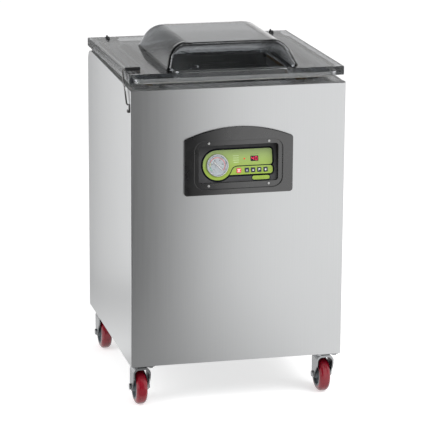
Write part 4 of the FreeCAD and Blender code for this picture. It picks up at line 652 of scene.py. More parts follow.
def print_bar(x, y, width, height, thick, base=0.0, turn=0.0, corner=0.25):
    """Thin raised mark with softened corners, drawn flat; corner is a share of its short side."""
    bar = square("mark")
    edit(bar, "VERT")
    bpy.ops.transform.resize(value=(width, height, 1.0))
    bpy.ops.mesh.bevel(offset=corner * min(width, height), segments=3, affect="VERTICES")
    pick_all()
    raise_faces(thick)
    settle(bar, Matrix.Translation((x, y, base)) @ Matrix.Rotation(turn, 4, "Z"))
    return bar


def ring_mark(inner, outer, start, sweep, thick, base, steps=48):
    """Flat band along an arc about the origin."""
    mark = square("arc")
    edit(mark)
    bpy.ops.transform.resize(value=(outer - inner, 1.0, 1.0))
    bpy.ops.transform.translate(value=((outer + inner) / 2, 0.5, 0.0))
    pick_edges(mark, lambda end: end.y > 0.5)
    bpy.ops.mesh.delete(type="VERT")
    pick_all()
    spin(steps, -sweep)
    bpy.ops.mesh.delete_loose(use_faces=False)
    pick_all()
    bpy.ops.mesh.remove_doubles(threshold=1e-7)
    raise_faces(thick)
    settle(mark, Matrix.Translation((0.0, 0.0, base)) @ Matrix.Rotation(start, 4, "Z"))
    return mark


def soft_block(name, low, high, rounding):
    """Block between two corners, its edges rounded."""
    low = Vector(low)
    high = Vector(high)
    block = started(name, bpy.ops.mesh.primitive_cube_add, size=1.0)
    edit(block)
    bpy.ops.transform.resize(value=high - low)
    bpy.ops.mesh.bevel(offset=rounding, segments=2, affect="EDGES")
    done()
    settle(block, Matrix.Translation((low + high) / 2))
    return smoothed(block)


def standing_block(name, seat, size, rounding):
    """Rounded block that stands with the middle of its foot on a seat."""
    half = Vector((size.x / 2, size.y / 2, 0.0))
    return soft_block(name, seat - half, seat + half + Vector((0.0, 0.0, size.z)), rounding)


def chain(name, points):
    """Edges through a row of points, left selected in edit mode."""
    line = square(name)
    edit(line, "VERT")
    bpy.ops.mesh.merge(type="CENTER")
    bpy.ops.transform.translate(value=points[0])
    for before, after in zip(points, points[1:]):
        step = Vector(after) - Vector(before)
        bpy.ops.mesh.extrude_vertices_move(TRANSFORM_OT_translate={"value": step})
    pick_all()
    return line


def turned(name, outline, steps=32):
    """Piece turned about Z from pairs of radius and height in millimetres."""
    piece = chain(name, [(radius * MM, 0.0, height * MM) for radius, height in outline])
    spin(steps, 2 * math.pi)
    bpy.ops.mesh.remove_doubles(threshold=1e-6)
    bpy.ops.mesh.normals_make_consistent(inside=False)
    done()
    return smoothed(piece)


def placed_copy(pattern, place):
    """Copy of a piece with a mesh of its own, carried to a place."""
    copy = pattern.copy()
    copy.data = pattern.data.copy()
    bpy.context.collection.objects.link(copy)
    settle(copy, place)
    return copy


def repeated(name, pattern, places):
    """One piece from copies of a pattern at several places; the pattern itself is removed."""
    copies = [placed_copy(pattern, place) for place in places]
    bpy.data.objects.remove(pattern)
    return joined(name, copies)


def facing(place, way):
    """Place whose Z axis points the given way."""
    return Matrix.Translation(place) @ Vector(way).to_track_quat("Z", "X").to_matrix().to_4x4()


def middle_of(node):
    low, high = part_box(node)
    return (low + high) / 2


def top_of(node):
    """Middle of the top of a CAD node's box."""
    middle = middle_of(node)
    return Vector((middle.x, middle.y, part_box(node)[1].z))


def on_fascia(node):
    """Lowest and highest corners of a CAD node in the fascia's frame."""
    inverse = FASCIA.inverted()
    points = [inverse @ vertex.co for vertex in NODES[node].data.vertices]
    low = [min(point[axis] for point in points) for axis in range(3)]
    high = [max(point[axis] for point in points) for axis in range(3)]
    return Vector(low), Vector(high)


def round_dial(reach, angle):
    """Place at a distance and an angle about the dial's middle."""
    return reach * math.cos(angle), reach * math.sin(angle)


class SealerPiece:
    """Settings that every operator reads."""

    bl_options = {"REGISTER", "UNDO"}

    @property
    def finish(self):
        return bpy.context.scene.sealer_finish

    @property
    def detail(self):
        return bpy.context.scene.sealer_detail


class SEALER_OT_stage(SealerPiece, bpy.types.Operator):
    """Pale floor, soft sky, lamps, graded cards for the steel to mirror, and the camera"""

    bl_idname = "sealer.stage"
    bl_label = "Stage"

    def execute(self, context):
        settings = context.scene.sealer_stage
        context.scene.view_settings.view_transform = "Standard"
        self.sky(context, settings)
        self.floor(settings)
        self.lamp("key_lamp", power=settings.key_power, **KEY_LAMP)
        self.lamp("fill_lamp", power=settings.fill_power, **FILL_LAMP)
        for card in CARDS:
            self.card(*card)
        self.camera(context, settings)
        return {"FINISHED"}

    def sky(self, context, settings):
        """White to the camera, dimmer overhead to mirrors and glass, and a soft light to all else."""
        world = bpy.data.worlds.new("studio")
        context.scene.world = world
        world.use_nodes = True
        tree = world.node_tree
        path = tree.nodes.new("ShaderNodeLightPath")
        coords = tree.nodes.new("ShaderNodeTexCoord")
        split = tree.nodes.new("ShaderNodeSeparateXYZ")
        tree.links.new(coords.outputs["Generated"], split.inputs["Vector"])
        overhead = range_node(tree, split.outputs["Z"], 0.0, SKY_DIM_BY, 1.0, settings.mirrored_sky)
        overhead.interpolation_type = "SMOOTHSTEP"
        seen = either(tree, path, ("Is Camera Ray", "Is Glossy Ray", "Is Transmission Ray"))
        light = self.chosen(tree, seen, overhead.outputs["Result"], settings.sky_strength)
        light = self.chosen(tree, path.outputs["Is Camera Ray"], 1.0, light)
        background = tree.nodes["Background"]
        background.inputs["Color"].default_value = rgba(WHITE)
        tree.links.new(light, background.inputs["Strength"])

    def chosen(self, tree, kind, value, otherwise):
        """One value for a kind of ray, and another for the rest."""
        mix = tree.nodes.new("ShaderNodeMix")
        tree.links.new(kind, mix.inputs["Factor"])
        connect(tree, otherwise, mix.inputs["A"])
        connect(tree, value, mix.inputs["B"])
        return mix.outputs["Result"]

    def floor(self, settings):
        """Pale to the camera, and to mirrors brighter far off than at the casters."""
        floor = disc("floor", settings.floor_radius)
        made = Finish("pale_floor", Roughness=0.9, Specular_IOR_Level=0.0, Emission_Color=WHITE)
        path = made.nodes.new("ShaderNodeLightPath")
        mirrored = either(made.tree, path, ("Is Glossy Ray", "Is Transmission Ray"))
        tone = made.blend(made.noise(2.0), (0.80, 0.80, 0.80), (0.83, 0.83, 0.83))
        made.paint(made.blend(mirrored, tone, BLACK))
        reach = made.nodes.new("ShaderNodeVectorMath")
        reach.operation = "LENGTH"
        made.links.new(made.coords, reach.inputs[0])
        shade = made.spread(reach.outputs["Value"], *FOOT_REACH,
                            settings.mirrored_foot, settings.mirrored_floor)
        seen = made.product(path.outputs["Is Camera Ray"], FLOOR_GLOW)
        made.put("Emission Strength", math_of(made.tree, "MAXIMUM", seen, made.product(shade, mirrored)))
        floor.data.materials.append(made.material)

    def lamp(self, name, place, size, power):
        lamp = started(name, bpy.ops.object.light_add, type="AREA", location=place)
        lamp.data.size = size
        lamp.data.energy = power
        lamp.visible_glossy = False
        lamp.rotation_mode = "QUATERNION"
        lamp.rotation_quaternion = (Vector(LAMP_AIM) - Vector(place)).to_track_quat("-Z", "Y")

    def card(self, name, place, tilt, turn, size, dark, bright):
        """Card that only mirrors show, graded along its width."""
        angles = (math.radians(tilt), 0.0, math.radians(turn))
        card = started(name, bpy.ops.mesh.primitive_plane_add, size=1.0, location=place, rotation=angles)
        card.scale = (*size, 1.0)
        made = Finish(name, Roughness=1.0, Base_Color=BLACK, Specular_IOR_Level=0.0, Emission_Color=WHITE)
        ramp = made.along(RIGHT, dark[0] / size[0], bright[0] / size[0])
        made.put("Emission Strength", made.spread(ramp, 0.0, 1.0, dark[1], bright[1]))
        card.data.materials.append(made.material)
        for kind in ("camera", "diffuse", "shadow", "transmission"):
            setattr(card, "visible_" + kind, False)

    def camera(self, context, settings):
        camera = started("camera", bpy.ops.object.camera_add, location=settings.camera_place)
        camera.data.lens = settings.lens
        camera.data.sensor_width = SENSOR_MM
        camera.data.clip_end = VIEW_END
        camera.rotation_mode = "QUATERNION"
        camera.rotation_quaternion = (
            Quaternion(UP, -settings.camera_yaw)
            @ Quaternion(RIGHT, math.radians(90.0) - settings.camera_pitch)
            @ Quaternion(UP, settings.camera_roll))
        context.scene.camera = camera


class SEALER_OT_cabinet(SealerPiece, bpy.types.Operator):
    """Finishes of the panels, base pan, posts, hinge sheets, gland and chamber"""

    bl_idname = "sealer.cabinet"
    bl_label = "Cabinet"

    def execute(self, context):
        steel = self.finish.steel
        wear_finish(brushed_steel("panel_steel", steel, (900.0, 900.0, 5.0)),
                    "front_panel", "left_side_panel", "right_side_panel", "rear_panel")
        wear_finish(brushed_steel("mill_steel", shaded(steel, 0.8), (40.0, 400.0, 400.0), 0.38, 0.5),
                    "base_pan", "frame_posts", "hinge_brackets", "hinge_leaves")
        wear_finish(brushed_steel("chamber_steel", shaded(steel, 1.02), (6.0, 500.0, 500.0), 0.2, 0.3),
                    "vacuum_chamber")
        wear_finish(moulded("gland_nylon", (0.02, 0.02, 0.02)), "cord_gland")
        return {"FINISHED"}


class SEALER_OT_lid(SealerPiece, bpy.types.Operator):
    """Clear lid, its gasket and strips, hinge bolts and pins, springs, hook and keeper"""

    bl_idname = "sealer.lid"
    bl_label = "Lid"

    def execute(self, context):
        wear_finish(self.acrylic(), "lid")
        wear_finish(rubber("silicone", self.finish.silicone), "lid_gasket", "lid_pressure_strips")
        wear_finish(painted("black_paint", (0.012, 0.012, 0.013)),
                    "hinge_bolts", "hook_sleeve", "hook_keeper", "lid_springs")
        wear_finish(plated_steel("bright_wire", (0.62, 0.61, 0.60)), "hook_wire")
        wear_finish(plated_steel("bright_pins", (0.75, 0.75, 0.74)), "hinge_pins")
        return {"FINISHED"}

    def acrylic(self):
        """Smoky plate with a paler, sawn rim at its front and sides."""
        rim_tint = (0.93, 0.95, 0.97)
        rim_rough = 0.22
        smoke_tint = (0.30, 0.34, 0.38)
        made = Finish("smoky_acrylic", IOR=1.49, Transmission_Weight=1.0)
        low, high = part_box("lid")
        width = self.detail.rim_width
        sides = ((FRONT, -low.y), (LEFT, -low.x), (RIGHT, high.x))
        rim = made.total(*[made.along(way, reach - width, reach - 0.9 * width) for way, reach in sides])
        clear = made.mottled(made.noise(6.0), self.finish.acrylic, 0.97, 1.03)
        made.paint(made.blend(rim, clear, rim_tint))
        polish = made.spread(made.noise(220.0, detail=4.0), *NOISE_BROAD, 0.01, 0.045)
        made.put("Roughness", made.total(polish, made.product(rim, rim_rough)))
        made.relief(made.noise(9.0, detail=1.0), 0.12 * MM, 0.25)
        smoke = made.nodes.new("ShaderNodeVolumeAbsorption")
        smoke.inputs["Color"].default_value = rgba(smoke_tint)
        smoke.inputs["Density"].default_value = self.finish.smoke
        made.links.new(smoke.outputs["Volume"], made.nodes["Material Output"].inputs["Volume"])
        return made.material


class SEALER_OT_controls(SealerPiece, bpy.types.Operator):
    """Bezel, fascia, overlay, gauge, display, keys and board, with their printed marks"""

    bl_idname = "sealer.controls"
    bl_label = "Control unit"

    def execute(self, context):
        colours = self.finish
        wear_finish(self.crowned_plastic(), "control_bezel")
        wear_finish(moulded("fascia_plastic", colours.fascia, 0.4, 0.52), "control_fascia")
        wear_finish(self.overlay(), "control_overlay")
        wear_finish(self.gauge_metal(), "gauge_case")
        wear_finish(self.glass(), "gauge_lens")
        wear_finish(self.lit("lamp_lens", (0.75, 0.02, 0.02), 0.25), "status_lamp")
        wear_finish(self.dark_window(), "display_window")
        wear_finish(moulded("stop_key_red", colours.stop, 0.3, 0.42), "stop_key")
        wear_finish(moulded("key_navy", colours.keys, 0.3, 0.42), *KEYS[1:])
        wear_finish(painted("board_lacquer", (0.02, 0.16, 0.05)), "control_board")
        low, high = on_fascia("gauge_lens")
        radius = (high.x - low.x) / 2
        self.overlay_edging()
        self.dial_card(radius)
        self.dial_arcs(radius)
        self.dial_scale(radius)
        self.pointer()
        self.display()
        self.key_marks()
        self.field_marks()
        return {"FINISHED"}

    def crowned_plastic(self):
        """Satin black moulding whose broad face is slightly crowned from side to side, with edges lightened
        by wear and a painted highlight, and painted shade in its corners.
        """
        made = Finish("bezel_plastic", IOR=1.7, Specular_IOR_Level=1.0)
        cloud = made.noise(30.0)
        tone = made.mottled(cloud, self.finish.bezel, 0.88, 1.15)
        made.paint(made.hollow_shade(made.edge_wear_and_highlight(tone, 0.06), 5 * MM, 0.9))
        made.gloss(cloud, 0.24, 0.34)
        low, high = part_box("control_bezel")
        half = (high.x - low.x) / 2
        across = made.spread(made.along(RIGHT, low.x, high.x), 0.0, 1.0, -half, half)
        crown = made.product(made.product(across, across), -0.5 * self.detail.bezel_crown)
        grain = made.product(made.cells(1500.0), 0.006 * MM)
        made.relief(made.total(crown, grain), 1.0)
        return made.material

    def overlay(self):
        """Green print above the dark backing, told apart by their height out of the fascia."""
        backing_share = 0.55
        print_edge = 0.02 * MM
        fade_from, fade_to = -20 * MM, 42 * MM
        made = Finish("printed_film", Specular_IOR_Level=0.2)
        rise, out = FASCIA.to_3x3().col[1], FASCIA.to_3x3().col[2]
        low, high = on_fascia("control_overlay")
        step = FASCIA.translation.dot(out) + low.z + (high.z - low.z) * backing_share
        top = made.along(out, step, step + print_edge)
        foot = FASCIA.translation.dot(rise)
        fade = made.along(rise, foot + fade_from, foot + fade_to)
        green = self.finish.green
        pale = (green[0] * 1.06, green[1], green[2] * 2.6)
        speck = made.noise(2500.0, detail=2.0)
        field = made.flecked(speck, made.blend(fade, shaded(green, 0.96), pale), shaded(green, 0.85), 0.25)
        made.paint(made.blend(top, self.finish.border, field))
        made.gloss(made.noise(90.0), 0.28, 0.4)
        made.relief(speck, 0.02 * MM, 0.2)
        return made.material

    def overlay_edging(self):
        """Matt black edging round the green fields, grown from the outer wall of the overlay's backing."""
        low, high = on_fascia("control_overlay")
        backing = (low.z + high.z) / 2
        ring = -low.x
        gauge_hole = 0.85 * ring
        pill_left = ring + 2.0 * MM
        pill_top = low.y + 15.0 * MM
        around = 1.5 * MM
        proud = 0.06 * MM
        holes = [on_fascia(node) for node in KEYS + ("display_window", "status_lamp")]

        def inner(middle, normal):
            in_hole = middle.xy.length < gauge_hole or any(
                start.x - around < middle.x < end.x + around and start.y - around < middle.y < end.y + around
                for start, end in holes)
            on_pill = middle.x > pill_left and middle.y < pill_top
            return in_hole or on_pill or middle.z >= backing or abs(normal.z) >= 0.1

        edging = placed_copy(NODES["control_overlay"], FASCIA.inverted())
        edit(edging)
        bpy.ops.mesh.remove_doubles(threshold=1e-6)
        pick_faces(edging, inner)
        bpy.ops.mesh.delete(type="FACE")
        pick_all()
        bpy.ops.transform.translate(value=(0.0, 0.0, proud))
        done()
        modified(edging, "SOLIDIFY", thickness=self.detail.edging_width, offset=0.0, use_even_offset=True)
        made = Finish("edging_black", Roughness=0.6, Specular_IOR_Level=0.15)
        made.paint(made.blend(made.noise(300.0), (0.002, 0.003, 0.008), (0.004, 0.005, 0.012)))
        made.relief(made.noise(1800.0), 0.02 * MM, 0.2)
        fitted_on_fascia("overlay_edging", [edging], "cabinet", made.material)

    def gauge_metal(self):
        made = Finish("gauge_ring", Metallic=1.0)
        spun = made.noise(500.0)
        made.paint(made.blend(spun, (0.62, 0.64, 0.66), (0.82, 0.83, 0.84)))
        made.gloss(spun, 0.16, 0.28)
        return made.material

    def glass(self):
        made = Finish("gauge_glass", IOR=1.3, Transmission_Weight=1.0)
        made.paint(made.blend(made.noise(40.0), (0.97, 0.98, 0.99), WHITE))
        made.gloss(made.noise(300.0), 0.0, 0.02)
        return made.material

    def lit(self, name, colour, glow):
        """Coloured lens or bar that gives some light."""
        made = Finish(name, IOR=1.45, Emission_Color=colour, Emission_Strength=glow)
        cloud = made.noise(600.0)
        made.paint(made.mottled(cloud, colour, 0.85, 1.15))
        made.gloss(cloud, 0.12, 0.25)
        return made.material

    def dark_window(self):
        made = Finish("display_lens")
        cloud = made.noise(120.0)
        made.paint(made.blend(cloud, (0.008, 0.002, 0.004), (0.02, 0.006, 0.010)))
        made.gloss(cloud, 0.08, 0.2)
        return made.material

    def dial_card(self, radius):
        """Pale dial with a raised edge, open round the arbor."""
        thick = self.detail.print_thick
        reach = radius - 0.4 * MM
        slope = 1.0 * MM
        arbor_hole = 3.2 * MM
        card = disc("dial_card", reach)
        edit(card)
        bpy.ops.mesh.inset(thickness=slope)
        bpy.ops.transform.translate(value=(0.0, 0.0, thick))
        bpy.ops.mesh.inset(thickness=reach - slope - arbor_hole)
        bpy.ops.mesh.delete(type="FACE")
        pick_all()
        raise_faces(thick)
        paper = Finish("dial_paint")
        cloud = paper.noise(150.0, detail=4.0)
        paper.paint(paper.blend(cloud, (0.62, 0.67, 0.71), (0.74, 0.78, 0.81)))
        paper.gloss(cloud, 0.35, 0.5)
        fitted_on_fascia("dial_card", [card], "cabinet", paper.material)

    def dial_arcs(self, radius):
        """Coloured arcs on the dial."""
        thick = self.detail.print_thick
        for name, start, sweep, colour in DIAL_ARCS:
            arc = ring_mark(ARC_INNER * radius, ARC_OUTER * radius, math.radians(start), math.radians(sweep),
                            thick, 2 * thick)
            fitted_on_fascia(name, [arc], "cabinet", painted(name, colour))

    def dial_scale(self, radius):
        """Long and short ticks outside the arcs, and plain numbers inside them."""
        thick = self.detail.print_thick
        base = 2 * thick
        gap = 0.6 * MM
        ticks = TICKS_A_STEP * (self.detail.dial_steps - 1)
        marks = []
        for index in range(ticks + 1):
            angle = math.radians(DIAL_START - DIAL_SWEEP * index / ticks)
            is_long = index % TICKS_A_STEP == 0
            length = self.detail.tick_length * (1.0 if is_long else 0.55)
            width = (0.55 if is_long else 0.35) * MM
            x, y = round_dial(ARC_OUTER * radius + gap + length / 2, angle)
            marks.append(print_bar(x, y, length, width, thick, base, angle))
        for step in range(self.detail.dial_steps):
            angle = math.radians(DIAL_START - DIAL_SWEEP * step / (self.detail.dial_steps - 1))
            x, y = round_dial(NUMBER_RING * radius, angle)
            marks.append(self.number(str(NUMBER_STEP * step), x, y, base, thick))
        ink = painted("dial_ink", (0.02, 0.02, 0.025))
        fitted_on_fascia("dial_scale", marks, "cabinet", ink)

    def number(self, words, x, y, base, thick):
        """Raised number, drawn flat about its middle."""
        text = started("number", bpy.ops.object.text_add)
        text.data.body = words
        text.data.size = self.detail.number_size
        text.data.align_x = "CENTER"
        text.data.align_y = "CENTER"
        text.data.extrude = thick / 2
        text.data.resolution_u = 3
        select_only(text)
        bpy.ops.object.convert(target="MESH")
        settle(text, Matrix.Translation((x, y, base + thick / 2)))
        return text

    def pointer(self):
        """White pointer over a wider dark blade that paints its shadow, with a turned cap, in place of the
        plain needle.
        """
        margin = 0.7 * MM
        shadow_thick = 0.25 * MM
        blade_thick = 0.4 * MM
        width = self.detail.pointer_width
        low, high = on_fascia("gauge_needle")
        across_box = math.sqrt(2.0)      # the needle rests along a diagonal of its box
        tail = low.x * across_box
        tip = high.x * across_box
        # Painted shadow: a wider dark blade under the white one stands for the pointer's shadow on the dial.
        edge = self.blade("pointer_painted_shadow", tail - margin, tip, width + 2 * margin, low.z, shadow_thick)
        pointer_shadow_paint = painted("pointer_painted_shadow", (0.14, 0.14, 0.15))
        fitted_on_fascia("pointer_painted_shadow", [edge], "needle", pointer_shadow_paint)
        blade = self.blade("blade", tail, tip - margin, width, low.z + shadow_thick, blade_thick)
        cap = turned("cap", POINTER_CAP)
        settle(cap, Matrix.Translation((0.0, 0.0, low.z)))
        pointer = joined("pointer", [blade, cap])
        settle(pointer, FASCIA)
        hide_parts("gauge_needle")
        fitted(pointer, "needle", painted("needle_white", (0.92, 0.92, 0.91)))

    def blade(self, name, tail, tip, width, base, thick):
        """Flat blade along the needle's rest line, narrowing to its tip."""
        tip_share = 0.6
        blade = square(name)
        edit(blade)
        bpy.ops.transform.resize(value=(tip - tail, width, 1.0))
        pick_edges(blade, lambda end: end.x > 0.0)
        bpy.ops.transform.resize(value=(1.0, tip_share, 1.0))
        pick_all()
        raise_faces(thick)
        turn = Matrix.Rotation(math.radians(NEEDLE_REST), 4, "Z")
        middle = Matrix.Translation(((tip + tail) / 2, 0.0, 0.0))
        settle(blade, Matrix.Translation((0.0, 0.0, base)) @ turn @ middle)
        return blade

    def display(self):
        """Two seven-segment digits on the face of the dark window."""
        gap = 0.5 * MM
        low, high = on_fascia("display_window")
        middle = (low + high) / 2
        height = self.detail.digit_height
        width = height * DIGIT_SHAPE
        bars = []
        for shift, lit in DIGITS:
            for name, (across, up, upright) in SEGMENTS.items():
                if name in lit:
                    x = middle.x + (shift + across) * width
                    y = middle.y + up * height
                    length = (height / 2 if upright else width) - gap
                    bars.append(print_bar(x, y, length, self.detail.segment_width, self.detail.print_thick,
                                          high.z, math.pi / 2 * upright, 0.48))
        red = self.lit("lit_digits", (0.80, 0.02, 0.08), 0.7)
        fitted_on_fascia("display_digits", bars, "cabinet", red)

    def key_marks(self):
        """A plain symbol on each key."""
        ink = painted("key_ink", (0.82, 0.82, 0.84))
        for key in KEYS:
            low, high = on_fascia(key)
            middle = (low + high) / 2
            bars = [print_bar(middle.x + x * MM, middle.y + y * MM, width * MM, height * MM,
                              self.detail.print_thick, high.z, corner=0.3)
                    for x, y, width, height in KEY_SYMBOLS[key]]
            fitted_on_fascia(key + "_mark", bars, key, ink)

    def field_marks(self):
        """Pale bars beside the lamp and a line over the display."""
        thick = self.detail.print_thick
        top = on_fascia("control_overlay")[1].z
        lamp = sum(on_fascia("status_lamp"), Vector()) / 2
        bars_left, row_pitch, bar_height = 24.0 * MM, 6.0 * MM, 1.5 * MM
        bars = [print_bar(lamp.x - bars_left, lamp.y + row * row_pitch, width * MM, bar_height, thick, top,
                          corner=0.3)
                for row, width in FIELD_BARS]
        fitted_on_fascia("field_bars", bars, "cabinet", painted("pale_ink", (0.50, 0.62, 0.34)))
        low, high = on_fascia("display_window")
        line_gap, line_length, line_height = 4.6 * MM, 24.0 * MM, 0.6 * MM
        line = print_bar((low.x + high.x) / 2, high.y + line_gap, line_length, line_height, thick, top,
                         corner=0.3)
        fitted_on_fascia("display_line", [line], "cabinet", painted("dark_ink", (0.05, 0.07, 0.03)))


class SEALER_OT_screws(SealerPiece, bpy.types.Operator):
    """Pan-head screws with a cross recess, in the places of the plain ones"""

    bl_idname = "sealer.screws"
    bl_label = "Screws"

    def execute(self, context):
        screws = repeated("cross_screws", self.screw(), self.places())
        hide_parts("panel_screws")
        fitted(screws, "cabinet", plated_steel("screw_zinc", (0.86, 0.86, 0.85), 0.2, 0.36))
        return {"FINISHED"}

    def places(self):
        """Place of each plain screw's head, facing out of its panel, read from the CAD node."""
        head_span = 12 * MM
        heads = []
        for vertex in NODES["panel_screws"].data.vertices:
            point = vertex.co
            for head in heads:
                first = head[0]
                apart = abs(point.x - first.x) + abs(point.z - first.z)
                if apart < head_span and point.y * first.y > 0:
                    head.append(point)
                    break
            else:
                heads.append([point])
        found = []
        for head in heads:
            x = (min(point.x for point in head) + max(point.x for point in head)) / 2
            z = (min(point.z for point in head) + max(point.z for point in head)) / 2
            side = -1.0 if head[0].y < 0 else 1.0
            reach = max(point.y * side for point in head) * side
            found.append(facing((x, reach, z), (0.0, side, 0.0)))
        return found

    def screw(self):
        """Domed head with its top at the origin, a cross cut into it and a short shank."""
        head_radius, head_tall, head_round = 3.6 * MM, 2.2 * MM, 1.25 * MM
        shoulder, shank = 1.6 * MM, 5.0 * MM
        slot_length, slot_deep, cutter_tall = 4.2 * MM, 1.3 * MM, 3.0 * MM
        head = started("screw", bpy.ops.mesh.primitive_cylinder_add, vertices=28, radius=head_radius,
                       depth=head_tall)
        edit(head)
        bpy.ops.transform.translate(value=(0.0, 0.0, -head_tall / 2))
        pick_edges(head, lambda end: end.z > -0.01 * MM)
        bpy.ops.mesh.bevel(offset=head_round, segments=4, profile=0.6)
        bpy.ops.mesh.select_mode(type="FACE")
        pick_faces(head, lambda middle, normal: normal.z < -0.9)
        bpy.ops.mesh.inset(thickness=shoulder)
        extrude((0.0, 0.0, -shank))
        done()
        for turn in (0.0, math.pi / 2):
            cutter = print_bar(0.0, 0.0, slot_length, self.detail.recess_width, cutter_tall, -slot_deep,
                               turn, 0.1)
            modified(head, "BOOLEAN", operation="DIFFERENCE", object=cutter)
            bpy.data.objects.remove(cutter)
        return smoothed(head)


class SEALER_OT_casters(SealerPiece, bpy.types.Operator):
    """Finishes of the casters, with ribs and bearing shields on their wheels"""

    bl_idname = "sealer.casters"
    bl_label = "Casters"

    def execute(self, context):
        # The last number gives the forks strong painted shade in their corners.
        zinc = plated_steel("caster_zinc", (0.50, 0.51, 0.52), 0.16, 0.30, 0.95)
        core = self.core()
        wear_finish(zinc, "caster_plates", "caster_bolts", *("caster_fork_" + corner for corner in CORNERS))
        wear_finish(self.tyre(), *("caster_tyre_" + corner for corner in CORNERS))
        wear_finish(core, *("caster_hub_" + corner for corner in CORNERS))
        for corner in CORNERS:
            self.wheel_fittings(corner, core, zinc)
        return {"FINISHED"}

    def wheel_fittings(self, corner, core, zinc):
        """Radial ribs in both faces of a wheel core, and a shield over each bearing."""
        ribs_a_face = 6
        low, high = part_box("caster_hub_" + corner)
        middle = Matrix.Translation((low + high) / 2)
        half = (high.x - low.x) / 2
        rib_low, rib_high, rib_round = mm(4.7, -1.6, 15.0), mm(11.5, 1.6, 32.3), 0.8 * MM
        rib = soft_block("rib", rib_low, rib_high, rib_round)
        turns = [2 * math.pi * step / ribs_a_face for step in range(ribs_a_face)]
        rib_places = [middle @ Matrix.Rotation(side, 4, "Z") @ Matrix.Rotation(turn, 4, "X")
                      for side in (0.0, math.pi) for turn in turns]
        ribs = repeated("wheel_ribs_" + corner, rib, rib_places)
        fitted(ribs, "wheel_" + corner, core)
        shield_places = [middle @ facing(half * Vector(way), way) for way in (RIGHT, LEFT)]
        shields = repeated("wheel_shields_" + corner, turned("shield", BEARING_SHIELD), shield_places)
        fitted(shields, "wheel_" + corner, zinc)

    def tyre(self):
        """Glossy red polyurethane."""
        made = Finish("red_polyurethane", IOR=1.5, Coat_Weight=0.8, Coat_Roughness=0.06)
        cloud = made.noise(35.0, detail=4.0)
        made.paint(made.mottled(cloud, self.finish.tyre, 0.88, 1.15))
        made.gloss(cloud, 0.18, 0.32)
        made.relief(made.noise(500.0), 0.03 * MM, 0.3)
        return made.material

    def core(self):
        """Grey moulded wheel core, its edges lightened by wear and a painted highlight."""
        made = Finish("wheel_core")
        cloud = made.noise(80.0)
        made.paint(made.edge_wear_and_highlight(made.mottled(cloud, self.finish.hub, 0.85, 1.12), 0.2))
        made.gloss(cloud, 0.35, 0.5)
        made.relief(made.noise(900.0), 0.04 * MM, 0.4)
        return made.material


